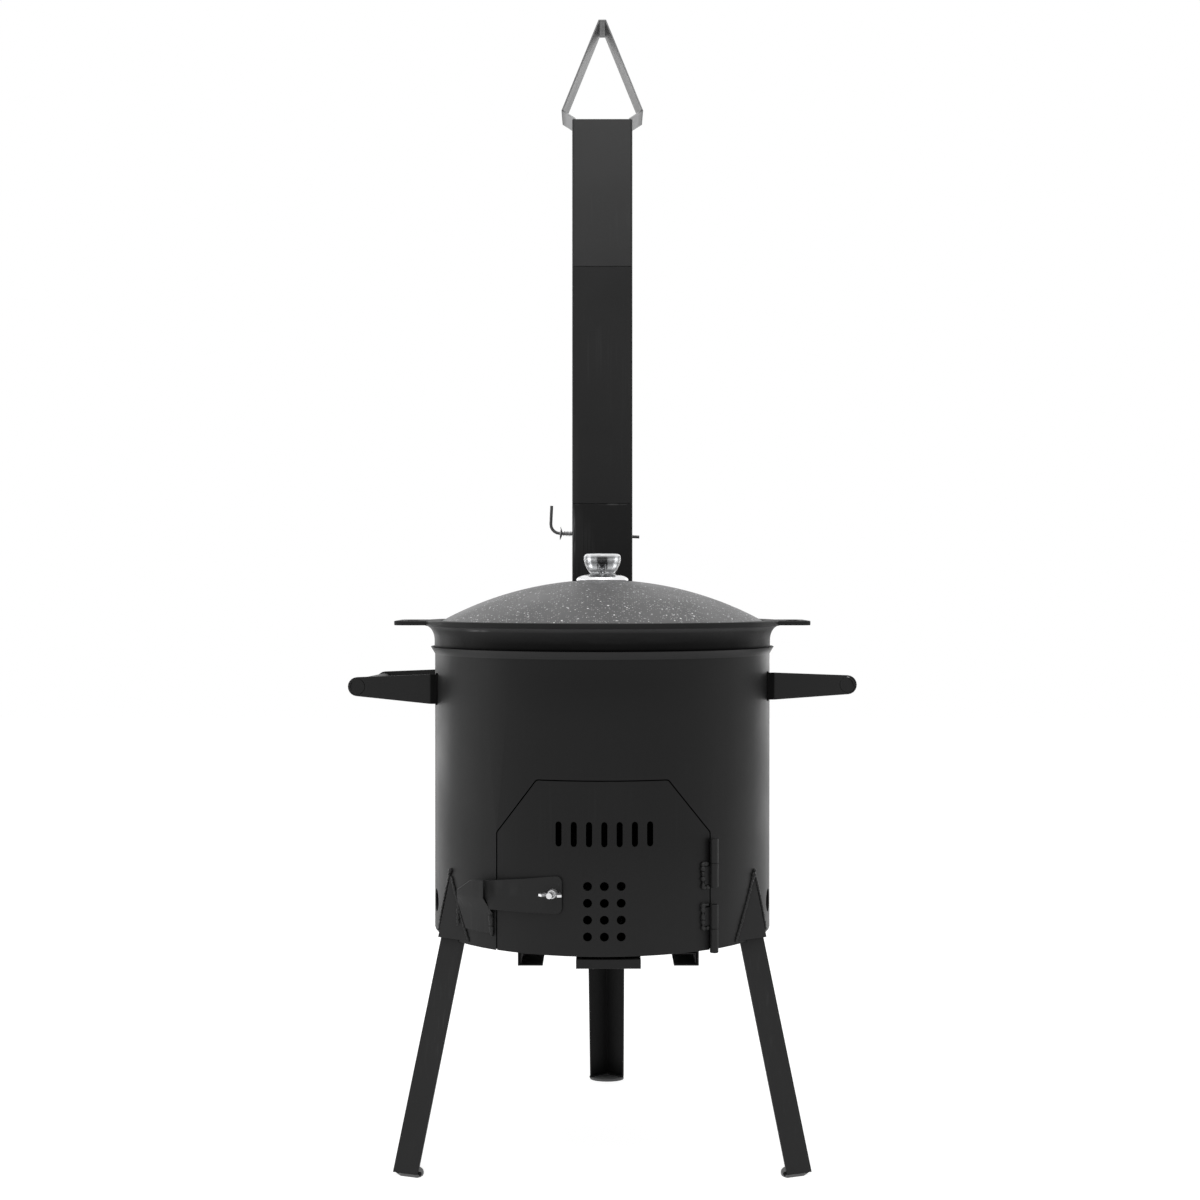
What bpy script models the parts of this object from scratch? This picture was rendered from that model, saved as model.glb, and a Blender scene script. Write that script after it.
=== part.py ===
"""Outdoor cauldron stove: a sheet steel drum on three push-in legs, with a hinged firing door,
a lift-out cauldron with a domed lid, an ash slide and a three-piece square chimney.

Metres, +Z up, the door faces -Y. Everything is drawn around the drum's axis, and the last step
moves the whole stove so that the origin lies on the floor under the middle of its outline.
Run with: blender --background --python part.py
"""
import math

import bmesh
import bpy
from mathutils import Matrix, Vector

# Driving sizes
DRUM_RADIUS = 0.180
DRUM_HEIGHT = 0.299
DRUM_BOTTOM = 0.2325
SHEET = 0.002
SEAT_GAP = 0.0003
OVERRUN = 0.010
MERGE = 0.000001
ROUND_STEPS = 60
FINE_STEPS = 32
SMALL_STEPS = 20
HOLE_STEPS = 16
PORT_STEPS = 12
ARC_STEPS = 5
SLOT_STEPS = 4
FOLD_STEPS = 3
SHARP_ANGLE = math.radians(35)

# Drum: flared lip, air holes at both sides, bottom plate with ash slots
LIP_HEIGHT = 0.0075
LIP_FLARE = 0.0045
AIR_HOLE_RADIUS = 0.012
AIR_HOLE_RISE = 0.0315
AIR_HOLE_AZIMUTHS = (math.radians(-77), math.radians(77))
BOTTOM_RISE = 0.0005
ASH_SLOT_COUNT = 6
ASH_SLOT_PITCH = 0.022
ASH_SLOT_WIDTH = 0.008
ASH_SLOT_LENGTH = 0.110

# Fire grate on three angle lugs
GRATE_RISE = 0.055
GRATE_THICKNESS = 0.003
GRATE_PLAY = 0.012
GRATE_SLOT_COUNT = 11
GRATE_SLOT_PITCH = 0.026
GRATE_SLOT_WIDTH = 0.010
GRATE_MARGIN = 0.022
LUG_WIDTH = 0.024
LUG_REACH = 0.024
LUG_DROP = 0.018
LUG_AZIMUTHS = {"left": math.radians(-66), "right": math.radians(66), "rear": math.radians(180)}

# Firing door, cut from the drum's own wall
DOOR_LATCH_ANGLE = math.radians(36.1)
DOOR_HINGE_ANGLE = math.radians(37.0)
DOOR_TOP_HALF_ANGLE = math.radians(21.3)
DOOR_HEIGHT = 0.173
DOOR_SHOULDER = 0.118
DOOR_GAP = 0.0012
DOOR_CORNER = 0.005
VENT_SHIFT = 0.002
VENT_COUNT = 7
VENT_PITCH = 0.015
VENT_WIDTH = 0.006
VENT_LENGTH = 0.025
VENT_RISE = 0.120
PORT_COLUMNS = 3
PORT_ROWS = 4
PORT_PITCH = 0.0165
PORT_RADIUS = 0.0045
PORT_RISE = 0.0445

# Hinges: two weld-on barrels, the pins fixed in the drum's knuckles
HINGE_AZIMUTH = math.radians(37.2)
HINGE_SPLIT_RISES = {"lower": 0.0220, "upper": 0.0872}
KNUCKLE_RADIUS = 0.0043
KNUCKLE_LENGTH = 0.0242
KNUCKLE_EDGE = 0.0006
PIN_RADIUS = 0.0024
PIN_LENGTH = 0.019
PIN_CLEARANCE = 0.0003
LEAF_REACH = 0.0062
LEAF_THICKNESS = 0.0022
LEAF_LENGTH = 0.018

# Latch: bent strap on a bolt through the door, wing nut, and a hook plate on the drum
BOLT_AZIMUTH = math.radians(-15.3)
BOLT_RISE = 0.0617
BOLT_RADIUS = 0.003
BOLT_LENGTH = 0.017
BOLT_HEAD_RADIUS = 0.0075
BOLT_HEAD_HEIGHT = 0.003
BOLT_HEAD_CROWN_SHARE = 0.5
BOLT_CLEARANCE = 0.0003
STRAP_THICKNESS = 0.002
STRAP_RIGHT = 0.0087
STRAP_BEND = 0.029
STRAP_END_AZIMUTH = math.radians(-38.57)
STRAP_END_STANDOFF = 0.008
STRAP_TOP_RIGHT = 0.0177
STRAP_TOP_LEFT = 0.0082
STRAP_BELOW = 0.0200
STRAP_CORNER = 0.006
STRAP_NOSE_WIDTH = 0.0060
STRAP_NOSE_HEIGHT = 0.0130
NUT_RADIUS = 0.005
NUT_HEIGHT = 0.006
WING_SPAN = 0.0118
WING_THICKNESS = 0.0024
WING_FOOT = 0.0015
WING_RISE = 0.0135
WING_ROOT = 0.0036
WING_CORNER = 0.0025
WING_TIP_SHARE = 0.67
NUT_CONE_SHARE = 0.67
NUT_CREST_SHARE = 0.8
CATCH_START = math.radians(-58)
CATCH_END = math.radians(-34)
CATCH_BASE_RISE = 0.014
CATCH_BEND_RISE = 0.0367
CATCH_RAISED_RISE = 0.0530
CATCH_TOP_RISE = 0.074
CATCH_STANDOFF = 0.012
CATCH_STEPS = 6
CATCH_FOOT_ANGLE = math.radians(38.07)
CATCH_SLOPE_ANGLE = math.radians(37.55)
CATCH_EDGE_ANGLE = math.radians(41.21)
CATCH_CORNER_ANGLE = math.radians(47.17)
CATCH_LEFT_ANGLE = math.radians(54.75)
CATCH_FOOT_LEFT_ANGLE = math.radians(50.30)
CATCH_FOOT_RISE = 0.0165
CATCH_EDGE_TOP_RISE = 0.0709
CATCH_CORNER_RISE = 0.0691
CATCH_LEFT_RISE = 0.0569
CATCH_LEFT_LOW_RISE = 0.0400

# Legs: angle section, pushed up into vee sockets on the drum
LEG_AZIMUTHS = {"left": math.radians(-60), "right": math.radians(60), "rear": math.radians(178.6)}
LEG_SPLAY = math.radians(13)
LEG_STANDOFF = 0.0119
LEG_FLANGE = 0.0273
LEG_HALF_ANGLE_TOP = math.radians(54.6)
LEG_HALF_ANGLE_FOOT = math.radians(48.6)
LEG_THICKNESS = 0.0025
LEG_INSERT = 0.034
LEG_CLEARANCE = 0.0004
SOCKET_SPLAY = math.radians(12.7)
SOCKET_STANDOFF = 0.0146
SOCKET_RISE = 0.0035
SOCKET_FLANGE = 0.041
SOCKET_HALF_ANGLE = math.radians(62.8)
SOCKET_TOP_MARGIN = 0.0025
FOOT_THICKNESS = 0.003
FOOT_INSET = 0.006
FOOT_TIP_HALF = 0.006
FOOT_TONGUE = 0.0135

# Side handles: two tapered arms and a round bar through their ends, the right one welded on a little askew
HANDLE_AZIMUTHS = {"left": math.radians(-96.5), "right": math.radians(96.5)}
HANDLE_RISES = {"left": 0.2568, "right": 0.2555}
HANDLE_ROLLS = {"left": 0, "right": math.radians(3)}
HANDLE_LENGTH = 0.0846
HANDLE_HALF_WIDTH = 0.065
ARM_THICKNESS = 0.003
ARM_ROOT_TOPS = {"left": 0.0136, "right": 0.0134}
ARM_ROOT_BOTTOMS = {"left": 0.0177, "right": 0.0152}
ARM_ROOT_FLAT = 0.008
ARM_END_RADIUS = 0.0101
GRIP_RADIUS = 0.0082

# Ash slide: folded plate that hangs in two channel rails under the bottom
SLIDE_SHIFT = 0.006
SLIDE_SHEET = 0.0015
RAIL_WIDTH = 0.025
RAIL_HEIGHT = 0.0153
RAIL_INNER_HALF = 0.0653
RAIL_FRONT_MARGIN = 0.032
RAIL_BACK_MARGIN = 0.055
SLIDE_PLAY = 0.0008
SLIDE_FRONT_MARGIN = 0.034
SLIDE_BACK_MARGIN = 0.068
SLIDE_TOP_DROP = 0.0025
SLIDE_LIP_HALF = 0.0318
SLIDE_LIP_MARGIN = 0.0005
SLIDE_LIP_DROP = 0.0114
SLIDE_LIP_CORNER = 0.003

# Cauldron: cast bowl hung in the drum's lip, with two lugs
CAULDRON_TOP_RISE = 0.028
RIM_OVERHANG = 0.0115
RIM_THICKNESS = 0.0055
NECK_OVERHANG = 0.0005
BOWL_NECK_RISE = 0.0065
BOWL_FILLET_WIDTH = 0.0105
BOWL_DEPTH = 0.132
BOWL_WALL = 0.0045
BOWL_STEPS = 10
LEDGE_DEPTH = 0.0045
LEDGE_WIDTH = 0.0025
LID_CLEARANCE = 0.0005
LUG_LENGTH = 0.0297
LUG_HALF_WIDTH = 0.045
LUG_THICKNESS = 0.0050
LUG_CORNER = 0.012
LUG_SLOT_HALF = 0.024
LUG_SLOT_MARGIN = 0.007
LUG_SLOT_WIDTH = 0.014
LUG_ROOT_DEPTH = 0.0055

# Lid: spun dome with a flat crest, knob plate, glass knob and screw
LID_INSET = 0.018
LID_ARC_RADIUS = 0.36
LID_EDGE = 0.003
LID_SHEET = 0.0025
LID_CREST_RADIUS = 0.0328
LID_STEPS = 8
LID_HOLE_RADIUS = 0.0030
KNOB_PLATE_RADIUS = 0.028
KNOB_PLATE_HEIGHT = 0.0075
KNOB_SEAT_RADIUS = 0.0155
PLATE_PROFILE_SHARES = ((1, 0), (1, 0.25), (0.8, 0.75))
KNOB_PROFILE_SHARES = ((0.628, 0), (0.754, 0.21), (0.894, 0.49), (1, 0.72), (1, 0.85), (0.945, 0.95),
                       (0.779, 1))
KNOB_RADIUS = 0.0199
KNOB_HEIGHT = 0.0215
KNOB_DISH = 0.0012
KNOB_DISH_RADIUS = 0.009
KNOB_BORE_DEPTH = 0.012
SCREW_RADIUS = 0.0024
SCREW_HEAD_RADIUS = 0.005
SCREW_HEAD_HEIGHT = 0.003

# Chimney: square stub behind the drum, two push-on lengths and a bent cap
PIPE_SIDE = 0.072
PIPE_WALL = 0.002
PIPE_CORNER = 0.003
PIPE_STANDOFF = 0.017
STUB_BOTTOM_RISE = 0.177
STUB_TOP_RISE = 0.462
LOWER_PIPE_LENGTH = 0.283
UPPER_PIPE_LENGTH = 0.176
SLEEVE_WALL = 0.0015
SLEEVE_HALF_LENGTH = 0.030
NECK_LOW_RISE = 0.189
NECK_HIGH_RISE = 0.269
NECK_INSET = 0.002
CAP_SHEET = 0.0018
CAP_TAB = 0.024
CAP_EAR_HALF = 0.049
CAP_EAR_RISE = 0.011
CAP_SIDE_PLAY = 0.0015
CAP_APEX_RISE = 0.120
CAP_APEX_HALF = 0.0045

# Flue damper: plate on a cross rod, held by a spring and a push-on washer
DAMPER_DROP = 0.0368
DAMPER_LEAN = math.radians(2.6)
ROD_RADIUS = 0.0019
ROD_CLEARANCE = 0.0003
ROD_LEFT = 0.063
ROD_RIGHT = 0.045
ROD_HANDLE = 0.033
ROD_BEND = 0.011
DAMPER_PLAY = 0.0022
DAMPER_SHEET = 0.0015
SPRING_WIRE = 0.0004
SPRING_RADIUS = 0.0027
SPRING_TURNS = 6
SPRING_POINTS = 10
SPRING_LENGTH = 0.0116
SPRING_SEAT = 0.0005
WASHER_RADIUS = 0.008
WASHER_SHEET = 0.0008
WASHER_CONE = 0.0022

# Finishes: colour, roughness, metallic
BLACK_PAINT = ((0.022, 0.022, 0.023), 0.55, 0)
CAST_IRON = ((0.018, 0.018, 0.019), 0.6, 0.3)
SPECKLED_ENAMEL = ((0.16, 0.16, 0.165), 0.5, 0)
ZINC = ((0.62, 0.63, 0.65), 0.35, 1)
POLISHED_STEEL = ((0.7, 0.7, 0.71), 0.2, 1)
CLEAR_GLASS = ((0.8, 0.82, 0.83), 0.05, 0)

# Sizes that follow from the ones above
DRUM_TOP = DRUM_BOTTOM + DRUM_HEIGHT
DRUM_BORE = DRUM_RADIUS - SHEET
BOTTOM_PLATE_LOW = DRUM_BOTTOM + BOTTOM_RISE
BOTTOM_PLATE_HIGH = BOTTOM_PLATE_LOW + SHEET
HINGE_RADIUS = DRUM_RADIUS + KNUCKLE_RADIUS + SEAT_GAP
PIPE_FRONT = DRUM_RADIUS + PIPE_STANDOFF
PIPE_CENTRE = PIPE_FRONT + PIPE_SIDE / 2
STUB_TOP = DRUM_BOTTOM + STUB_TOP_RISE
LOWER_PIPE_TOP = STUB_TOP + LOWER_PIPE_LENGTH
UPPER_PIPE_TOP = LOWER_PIPE_TOP + UPPER_PIPE_LENGTH
CAULDRON_TOP = DRUM_TOP + CAULDRON_TOP_RISE
RIM_RADIUS = DRUM_RADIUS + RIM_OVERHANG
BOWL_NECK_RADIUS = DRUM_RADIUS + NECK_OVERHANG
LID_RADIUS = RIM_RADIUS - LID_INSET
LEDGE_TOP = CAULDRON_TOP - LEDGE_DEPTH
LID_LOW = LEDGE_TOP + SEAT_GAP
LID_CENTRE_DROP = math.sqrt(LID_ARC_RADIUS ** 2 - LID_RADIUS ** 2)
LID_RISE = math.sqrt(LID_ARC_RADIUS ** 2 - LID_CREST_RADIUS ** 2) - LID_CENTRE_DROP
LID_TOP = LID_LOW + LID_EDGE + LID_RISE
SOCKET_BOTTOM = DRUM_BOTTOM + SOCKET_RISE
LEG_RIDGE_RADIUS = DRUM_RADIUS + LEG_STANDOFF
SOCKET_RIDGE_RADIUS = DRUM_RADIUS + SOCKET_STANDOFF
RAIL_FRONT = RAIL_FRONT_MARGIN - DRUM_RADIUS
RAIL_BACK = DRUM_RADIUS - RAIL_BACK_MARGIN
SLIDE_FRONT = SLIDE_FRONT_MARGIN - DRUM_RADIUS
SLIDE_BACK = DRUM_RADIUS - SLIDE_BACK_MARGIN
SLIDE_LIP_FRONT = SLIDE_LIP_MARGIN - DRUM_RADIUS


def polar(radius, azimuth, height):
    """Point at an azimuth counted from the front, positive towards +X."""
    return Vector((radius * math.sin(azimuth), -radius * math.cos(azimuth), height))


def wall_frame(azimuth, radius, height):
    """Frame on the drum's wall: X along the wall to the right, Y up, Z outwards."""
    along = Vector((math.cos(azimuth), math.sin(azimuth), 0))
    outwards = Vector((math.sin(azimuth), -math.cos(azimuth), 0))
    frame = Matrix((along, Vector((0, 0, 1)), outwards)).transposed().to_4x4()
    frame.translation = polar(radius, azimuth, height)
    return frame


def principled(name, finish):
    """Own material of one piece, from a finish of (colour, roughness, metallic)."""
    colour, roughness, metallic = finish
    material = bpy.data.materials.new(name)
    material.use_nodes = True
    shader = material.node_tree.nodes["Principled BSDF"]
    shader.inputs["Base Color"].default_value = (*colour, 1)
    shader.inputs["Roughness"].default_value = roughness
    shader.inputs["Metallic"].default_value = metallic
    return material


def mesh_from(builder, name):
    bmesh.ops.remove_doubles(builder, verts=builder.verts, dist=MERGE)
    bmesh.ops.recalc_face_normals(builder, faces=builder.faces)
    mesh = bpy.data.meshes.new(name)
    builder.to_mesh(mesh)
    builder.free()
    mesh.shade_smooth()
    mesh.set_sharp_from_angle(angle=SHARP_ANGLE)
    return mesh


def turned(name, profile, steps=ROUND_STEPS, start=0, angle=math.tau):
    """Solid turned about Z from a closed profile of (radius, height) points."""
    builder = bmesh.new()
    verts = [builder.verts.new((radius * math.cos(start), radius * math.sin(start), height))
             for radius, height in profile]
    edges = []
    for index, vert in enumerate(verts):
        following = (index + 1) % len(verts)
        if profile[index][0] > 0 or profile[following][0] > 0:
            edges.append(builder.edges.new((vert, verts[following])))
    whole = angle == math.tau
    if not whole:
        builder.faces.new(verts)
    spun = bmesh.ops.spin(builder, geom=verts + edges, cent=(0, 0, 0), axis=(0, 0, 1),
                          angle=angle, steps=steps, use_merge=whole)
    if not whole:
        builder.faces.new([item for item in spun["geom_last"] if isinstance(item, bmesh.types.BMVert)])
    return mesh_from(builder, name)


def loft(name, rings, loop=False):
    """Skin over rings of equally many points, with flat ends or joined end to start."""
    builder = bmesh.new()
    rows = [[builder.verts.new(point) for point in ring] for ring in rings]
    pairs = list(zip(rows, rows[1:]))
    if loop:
        pairs.append((rows[-1], rows[0]))
    else:
        builder.faces.new(rows[0])
        builder.faces.new(rows[-1])
    for near, far in pairs:
        for index in range(len(near)):
            following = (index + 1) % len(near)
            builder.faces.new((near[index], near[following], far[following], far[index]))
    return mesh_from(builder, name)


def prism(name, outline, low, high, plane="XY"):
    """Straight solid over an outline, from low to high along the axis square to its plane."""
    order = {"XY": (0, 1, 2), "XZ": (0, 2, 1), "YZ": (2, 0, 1)}[plane]
    rings = []
    for depth in (low, high):
        rings.append([[(u, v, depth)[axis] for axis in order] for u, v in outline])
    return loft(name, rings)


def box(name, low, high):
    outline = [(low[0], low[1]), (high[0], low[1]), (high[0], high[1]), (low[0], high[1])]
    return prism(name, outline, low[2], high[2])


def circle(radius, steps=SMALL_STEPS, centre=(0, 0)):
    return [(centre[0] + radius * math.cos(math.tau * index / steps),
             centre[1] + radius * math.sin(math.tau * index / steps)) for index in range(steps)]


def rounded(corners, radius, steps=ARC_STEPS):
    """Outline with every corner replaced by an arc; radius is one value or one for each corner."""
    radii = radius if isinstance(radius, (list, tuple)) else [radius] * len(corners)
    outline = []
    for index, corner in enumerate(corners):
        here = Vector(corner)
        if radii[index] == 0:
            outline.append(tuple(here))
            continue
        back = (Vector(corners[index - 1]) - here).normalized()
        ahead = (Vector(corners[(index + 1) % len(corners)]) - here).normalized()
        half = math.acos(max(-1, min(1, back.dot(ahead)))) / 2
        centre = here + (back + ahead).normalized() * (radii[index] / math.sin(half))
        first = here + back * (radii[index] / math.tan(half)) - centre
        last = here + ahead * (radii[index] / math.tan(half)) - centre
        turn = first.angle_signed(last)
        for step in range(steps + 1):
            share = turn * step / steps
            spoke = Matrix.Rotation(-share, 2) @ first
            outline.append(tuple(centre + spoke))
    return outline


def inset(corners, distance):
    """The same outline with each side moved inwards, corners in anticlockwise order."""
    moved = []
    for index, corner in enumerate(corners):
        here = Vector(corner)
        back = (here - Vector(corners[index - 1])).normalized()
        ahead = (Vector(corners[(index + 1) % len(corners)]) - here).normalized()
        inwards = Vector((-back.y, back.x)) + Vector((-ahead.y, ahead.x))
        moved.append(tuple(here + inwards * (distance / (1 + back.dot(ahead)))))
    return moved


def bent_sheet(path, thickness):
    """Closed outline of a sheet folded along a path, its thickness on the path's left side."""
    points = [Vector(point) for point in path]
    sides = []
    for index, here in enumerate(points):
        back = (here - points[index - 1]).normalized() if index else None
        ahead = (points[index + 1] - here).normalized() if index < len(points) - 1 else None
        back = back or ahead
        ahead = ahead or back
        leftwards = Vector((-back.y, back.x)) + Vector((-ahead.y, ahead.x))
        sides.append(here + leftwards * (thickness / (1 + back.dot(ahead))))
    return [tuple(point) for point in points] + [tuple(point) for point in reversed(sides)]


def add(name, mesh, finish, parent, frame=None):
    """One object of the stove, standing in the frame given, carried by its parent."""
    piece = bpy.data.objects.new(name, mesh)
    bpy.context.scene.collection.objects.link(piece)
    if finish:
        mesh.materials.append(principled(name, finish))
    piece.parent = parent
    piece.matrix_parent_inverse = parent_world(parent).inverted()
    piece.matrix_basis = frame or Matrix.Identity(4)
    return piece


def parent_world(parent):
    bpy.context.view_layer.update()
    return parent.matrix_world.copy() if parent else Matrix.Identity(4)


def pivot(name, place, parent):
    """Empty on a joint's axis, which carries the pieces that move with it."""
    marker = bpy.data.objects.new(name, None)
    bpy.context.scene.collection.objects.link(marker)
    marker.parent = parent
    marker.matrix_parent_inverse = parent_world(parent).inverted()
    marker.location = place
    return marker


def shape(target, tool_mesh, parent, frame=None, operation="DIFFERENCE"):
    """Boolean modifier on the target with a hidden tool solid."""
    tool = add(f"cutter_{len(bpy.data.objects)}", tool_mesh, None, parent, frame)
    tool.hide_render = True
    tool.display_type = "WIRE"
    modifier = target.modifiers.new(f"{operation.lower()}_{len(target.modifiers)}", "BOOLEAN")
    modifier.operation = operation
    modifier.solver = "EXACT"
    modifier.object = tool
    return tool


def side_by_side(meshes_name, outlines, low, high, plane="XY"):
    """One tool mesh that holds several separate prisms."""
    builder = bmesh.new()
    for outline in outlines:
        single = prism(meshes_name, outline, low, high, plane)
        builder.from_mesh(single)
        bpy.data.meshes.remove(single)
    return mesh_from(builder, meshes_name)


def slot_outline(centre_u, centre_v, width, length, steps=ARC_STEPS):
    """Slot with round ends, its length along V."""
    half = width / 2
    straight = length / 2 - half
    upper = [(centre_u + half * math.cos(math.pi * index / steps),
              centre_v + straight + half * math.sin(math.pi * index / steps)) for index in range(steps + 1)]
    lower = [(centre_u - half * math.cos(math.pi * index / steps),
              centre_v - straight - half * math.sin(math.pi * index / steps)) for index in range(steps + 1)]
    return upper + lower


def centred(count, pitch):
    """Places of a row of equal pitch about zero."""
    return [(index - (count - 1) / 2) * pitch for index in range(count)]


def door_corners():
    """Front view of the door opening, from below the drum's edge to the clipped top corners."""
    left = -DRUM_RADIUS * math.sin(DOOR_LATCH_ANGLE)
    right = DRUM_RADIUS * math.sin(DOOR_HINGE_ANGLE)
    top_half = DRUM_RADIUS * math.sin(DOOR_TOP_HALF_ANGLE)
    low = DRUM_BOTTOM - OVERRUN
    shoulder = DRUM_BOTTOM + DOOR_SHOULDER
    top = DRUM_BOTTOM + DOOR_HEIGHT
    sides = [(left, low), (right, low), (right, shoulder)]
    return sides + [(top_half, top), (-top_half, top), (left, shoulder)]


def drum_tool(name, clearance, low, high):
    """Solid cylinder over the drum's outside, for trimming what is welded on."""
    radius = DRUM_RADIUS + clearance
    return turned(name, [(0, high), (radius, high), (radius, low), (0, low)])


def make_drum(root):
    lip_across = SHEET * math.hypot(LIP_HEIGHT, LIP_FLARE) / LIP_HEIGHT
    profile = [(DRUM_RADIUS, DRUM_BOTTOM),
               (DRUM_RADIUS, DRUM_TOP - LIP_HEIGHT),
               (DRUM_RADIUS + LIP_FLARE, DRUM_TOP),
               (DRUM_RADIUS + LIP_FLARE - lip_across, DRUM_TOP),
               (DRUM_BORE, DRUM_TOP - LIP_HEIGHT),
               (DRUM_BORE, DRUM_BOTTOM)]
    drum = add("drum_shell", turned("drum_shell", profile), BLACK_PAINT, root)
    opening = rounded(door_corners(), [0, 0, DOOR_CORNER, DOOR_CORNER, DOOR_CORNER, DOOR_CORNER])
    front = -DRUM_RADIUS - OVERRUN
    back = -DRUM_BORE * math.cos(DOOR_HINGE_ANGLE) + OVERRUN
    shape(drum, prism("door_opening", opening, front, back, "XZ"), root)
    for azimuth in AIR_HOLE_AZIMUTHS:
        hole = prism("air_hole", circle(AIR_HOLE_RADIUS), -OVERRUN, OVERRUN)
        shape(drum, hole, root, wall_frame(azimuth, DRUM_RADIUS, DRUM_BOTTOM + AIR_HOLE_RISE))
    half = PIPE_SIDE / 2 - NECK_INSET - SHEET
    low = DRUM_BOTTOM + NECK_LOW_RISE + SHEET
    high = DRUM_BOTTOM + NECK_HIGH_RISE - SHEET
    window_back = DRUM_RADIUS + OVERRUN
    window_front = math.sqrt(DRUM_BORE ** 2 - half ** 2) - OVERRUN
    shape(drum, box("flue_window", (-half, window_front, low), (half, window_back, high)), root)
    return drum


def make_bottom(root):
    radius = DRUM_BORE - SEAT_GAP
    profile = [(0, BOTTOM_PLATE_HIGH), (radius, BOTTOM_PLATE_HIGH), (radius, BOTTOM_PLATE_LOW),
               (0, BOTTOM_PLATE_LOW)]
    plate = add("bottom_plate", turned("bottom_plate", profile), BLACK_PAINT, root)
    slots = [slot_outline(SLIDE_SHIFT + place, 0, ASH_SLOT_WIDTH, ASH_SLOT_LENGTH, SLOT_STEPS)
             for place in centred(ASH_SLOT_COUNT, ASH_SLOT_PITCH)]
    low = BOTTOM_PLATE_LOW - OVERRUN
    high = BOTTOM_PLATE_HIGH + OVERRUN
    shape(plate, side_by_side("ash_slots", slots, low, high), root)


def make_grate(root):
    grate_low = DRUM_BOTTOM + GRATE_RISE
    lug_top = grate_low - SEAT_GAP
    lug_radius = DRUM_BORE - SEAT_GAP
    for side, azimuth in LUG_AZIMUTHS.items():
        path = [(lug_radius - LUG_REACH, lug_top), (lug_radius, lug_top), (lug_radius, lug_top - LUG_DROP)]
        outline = bent_sheet([(-radius, height) for radius, height in path], SHEET)
        half = LUG_WIDTH / 2
        lug = add(f"grate_lug_{side}", prism("grate_lug", outline, -half, half, "YZ"), BLACK_PAINT, root,
                  Matrix.Rotation(azimuth, 4, "Z"))
        high = lug_top + OVERRUN
        low = lug_top - LUG_DROP - OVERRUN
        outer = DRUM_RADIUS + OVERRUN
        bore = [(outer, high), (outer, low), (lug_radius, low), (lug_radius, high)]
        shape(lug, turned("drum_bore_tool", bore), root)
    radius = DRUM_BORE - GRATE_PLAY
    grate_high = grate_low + GRATE_THICKNESS
    profile = [(0, grate_high), (radius, grate_high), (radius, grate_low), (0, grate_low)]
    marker = pivot("grate_pivot", (0, 0, grate_low), root)
    grate = add("fire_grate", turned("fire_grate", profile), CAST_IRON, marker)
    slots = []
    for place in centred(GRATE_SLOT_COUNT, GRATE_SLOT_PITCH):
        chord = math.sqrt(max(0, (radius - GRATE_MARGIN) ** 2 - place ** 2))
        slots.append(slot_outline(place, 0, GRATE_SLOT_WIDTH, 2 * chord, SLOT_STEPS))
    shape(grate, side_by_side("grate_slots", slots, grate_low - OVERRUN, grate_high + OVERRUN), marker)


def make_door(root):
    marker = pivot("door_pivot", polar(HINGE_RADIUS, HINGE_AZIMUTH, DRUM_BOTTOM), root)
    low = DRUM_BOTTOM - OVERRUN
    high = DRUM_BOTTOM + DOOR_HEIGHT + OVERRUN
    wall = [(DRUM_RADIUS, low), (DRUM_RADIUS, high), (DRUM_BORE, high), (DRUM_BORE, low)]
    door = add("door_panel", turned("door_panel", wall), BLACK_PAINT, marker)
    corners = inset(door_corners(), DOOR_GAP)
    bottom = DRUM_BOTTOM + SEAT_GAP
    corners[0] = (corners[0][0], bottom)
    corners[1] = (corners[1][0], bottom)
    inner_corner = DOOR_CORNER - DOOR_GAP
    outline = rounded(corners, [0, 0, inner_corner, inner_corner, inner_corner, inner_corner])
    front = -DRUM_RADIUS - OVERRUN
    back = -DRUM_BORE * math.cos(DOOR_HINGE_ANGLE) + OVERRUN
    shape(door, prism("door_blank", outline, front, back, "XZ"), marker, operation="INTERSECT")
    vents = [slot_outline(VENT_SHIFT + place, DRUM_BOTTOM + VENT_RISE, VENT_WIDTH, VENT_LENGTH, SLOT_STEPS)
             for place in centred(VENT_COUNT, VENT_PITCH)]
    for across in centred(PORT_COLUMNS, PORT_PITCH):
        for up in centred(PORT_ROWS, PORT_PITCH):
            place = (VENT_SHIFT + across, DRUM_BOTTOM + PORT_RISE + up)
            vents.append(circle(PORT_RADIUS, PORT_STEPS, place))
    shape(door, side_by_side("door_vents", vents, front, back, "XZ"), marker)
    bolt_frame = wall_frame(BOLT_AZIMUTH, DRUM_BORE, DRUM_BOTTOM + BOLT_RISE)
    bolt_hole = prism("bolt_hole", circle(BOLT_RADIUS + BOLT_CLEARANCE, HOLE_STEPS), -OVERRUN, OVERRUN)
    shape(door, bolt_hole, marker, bolt_frame)
    return marker


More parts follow.
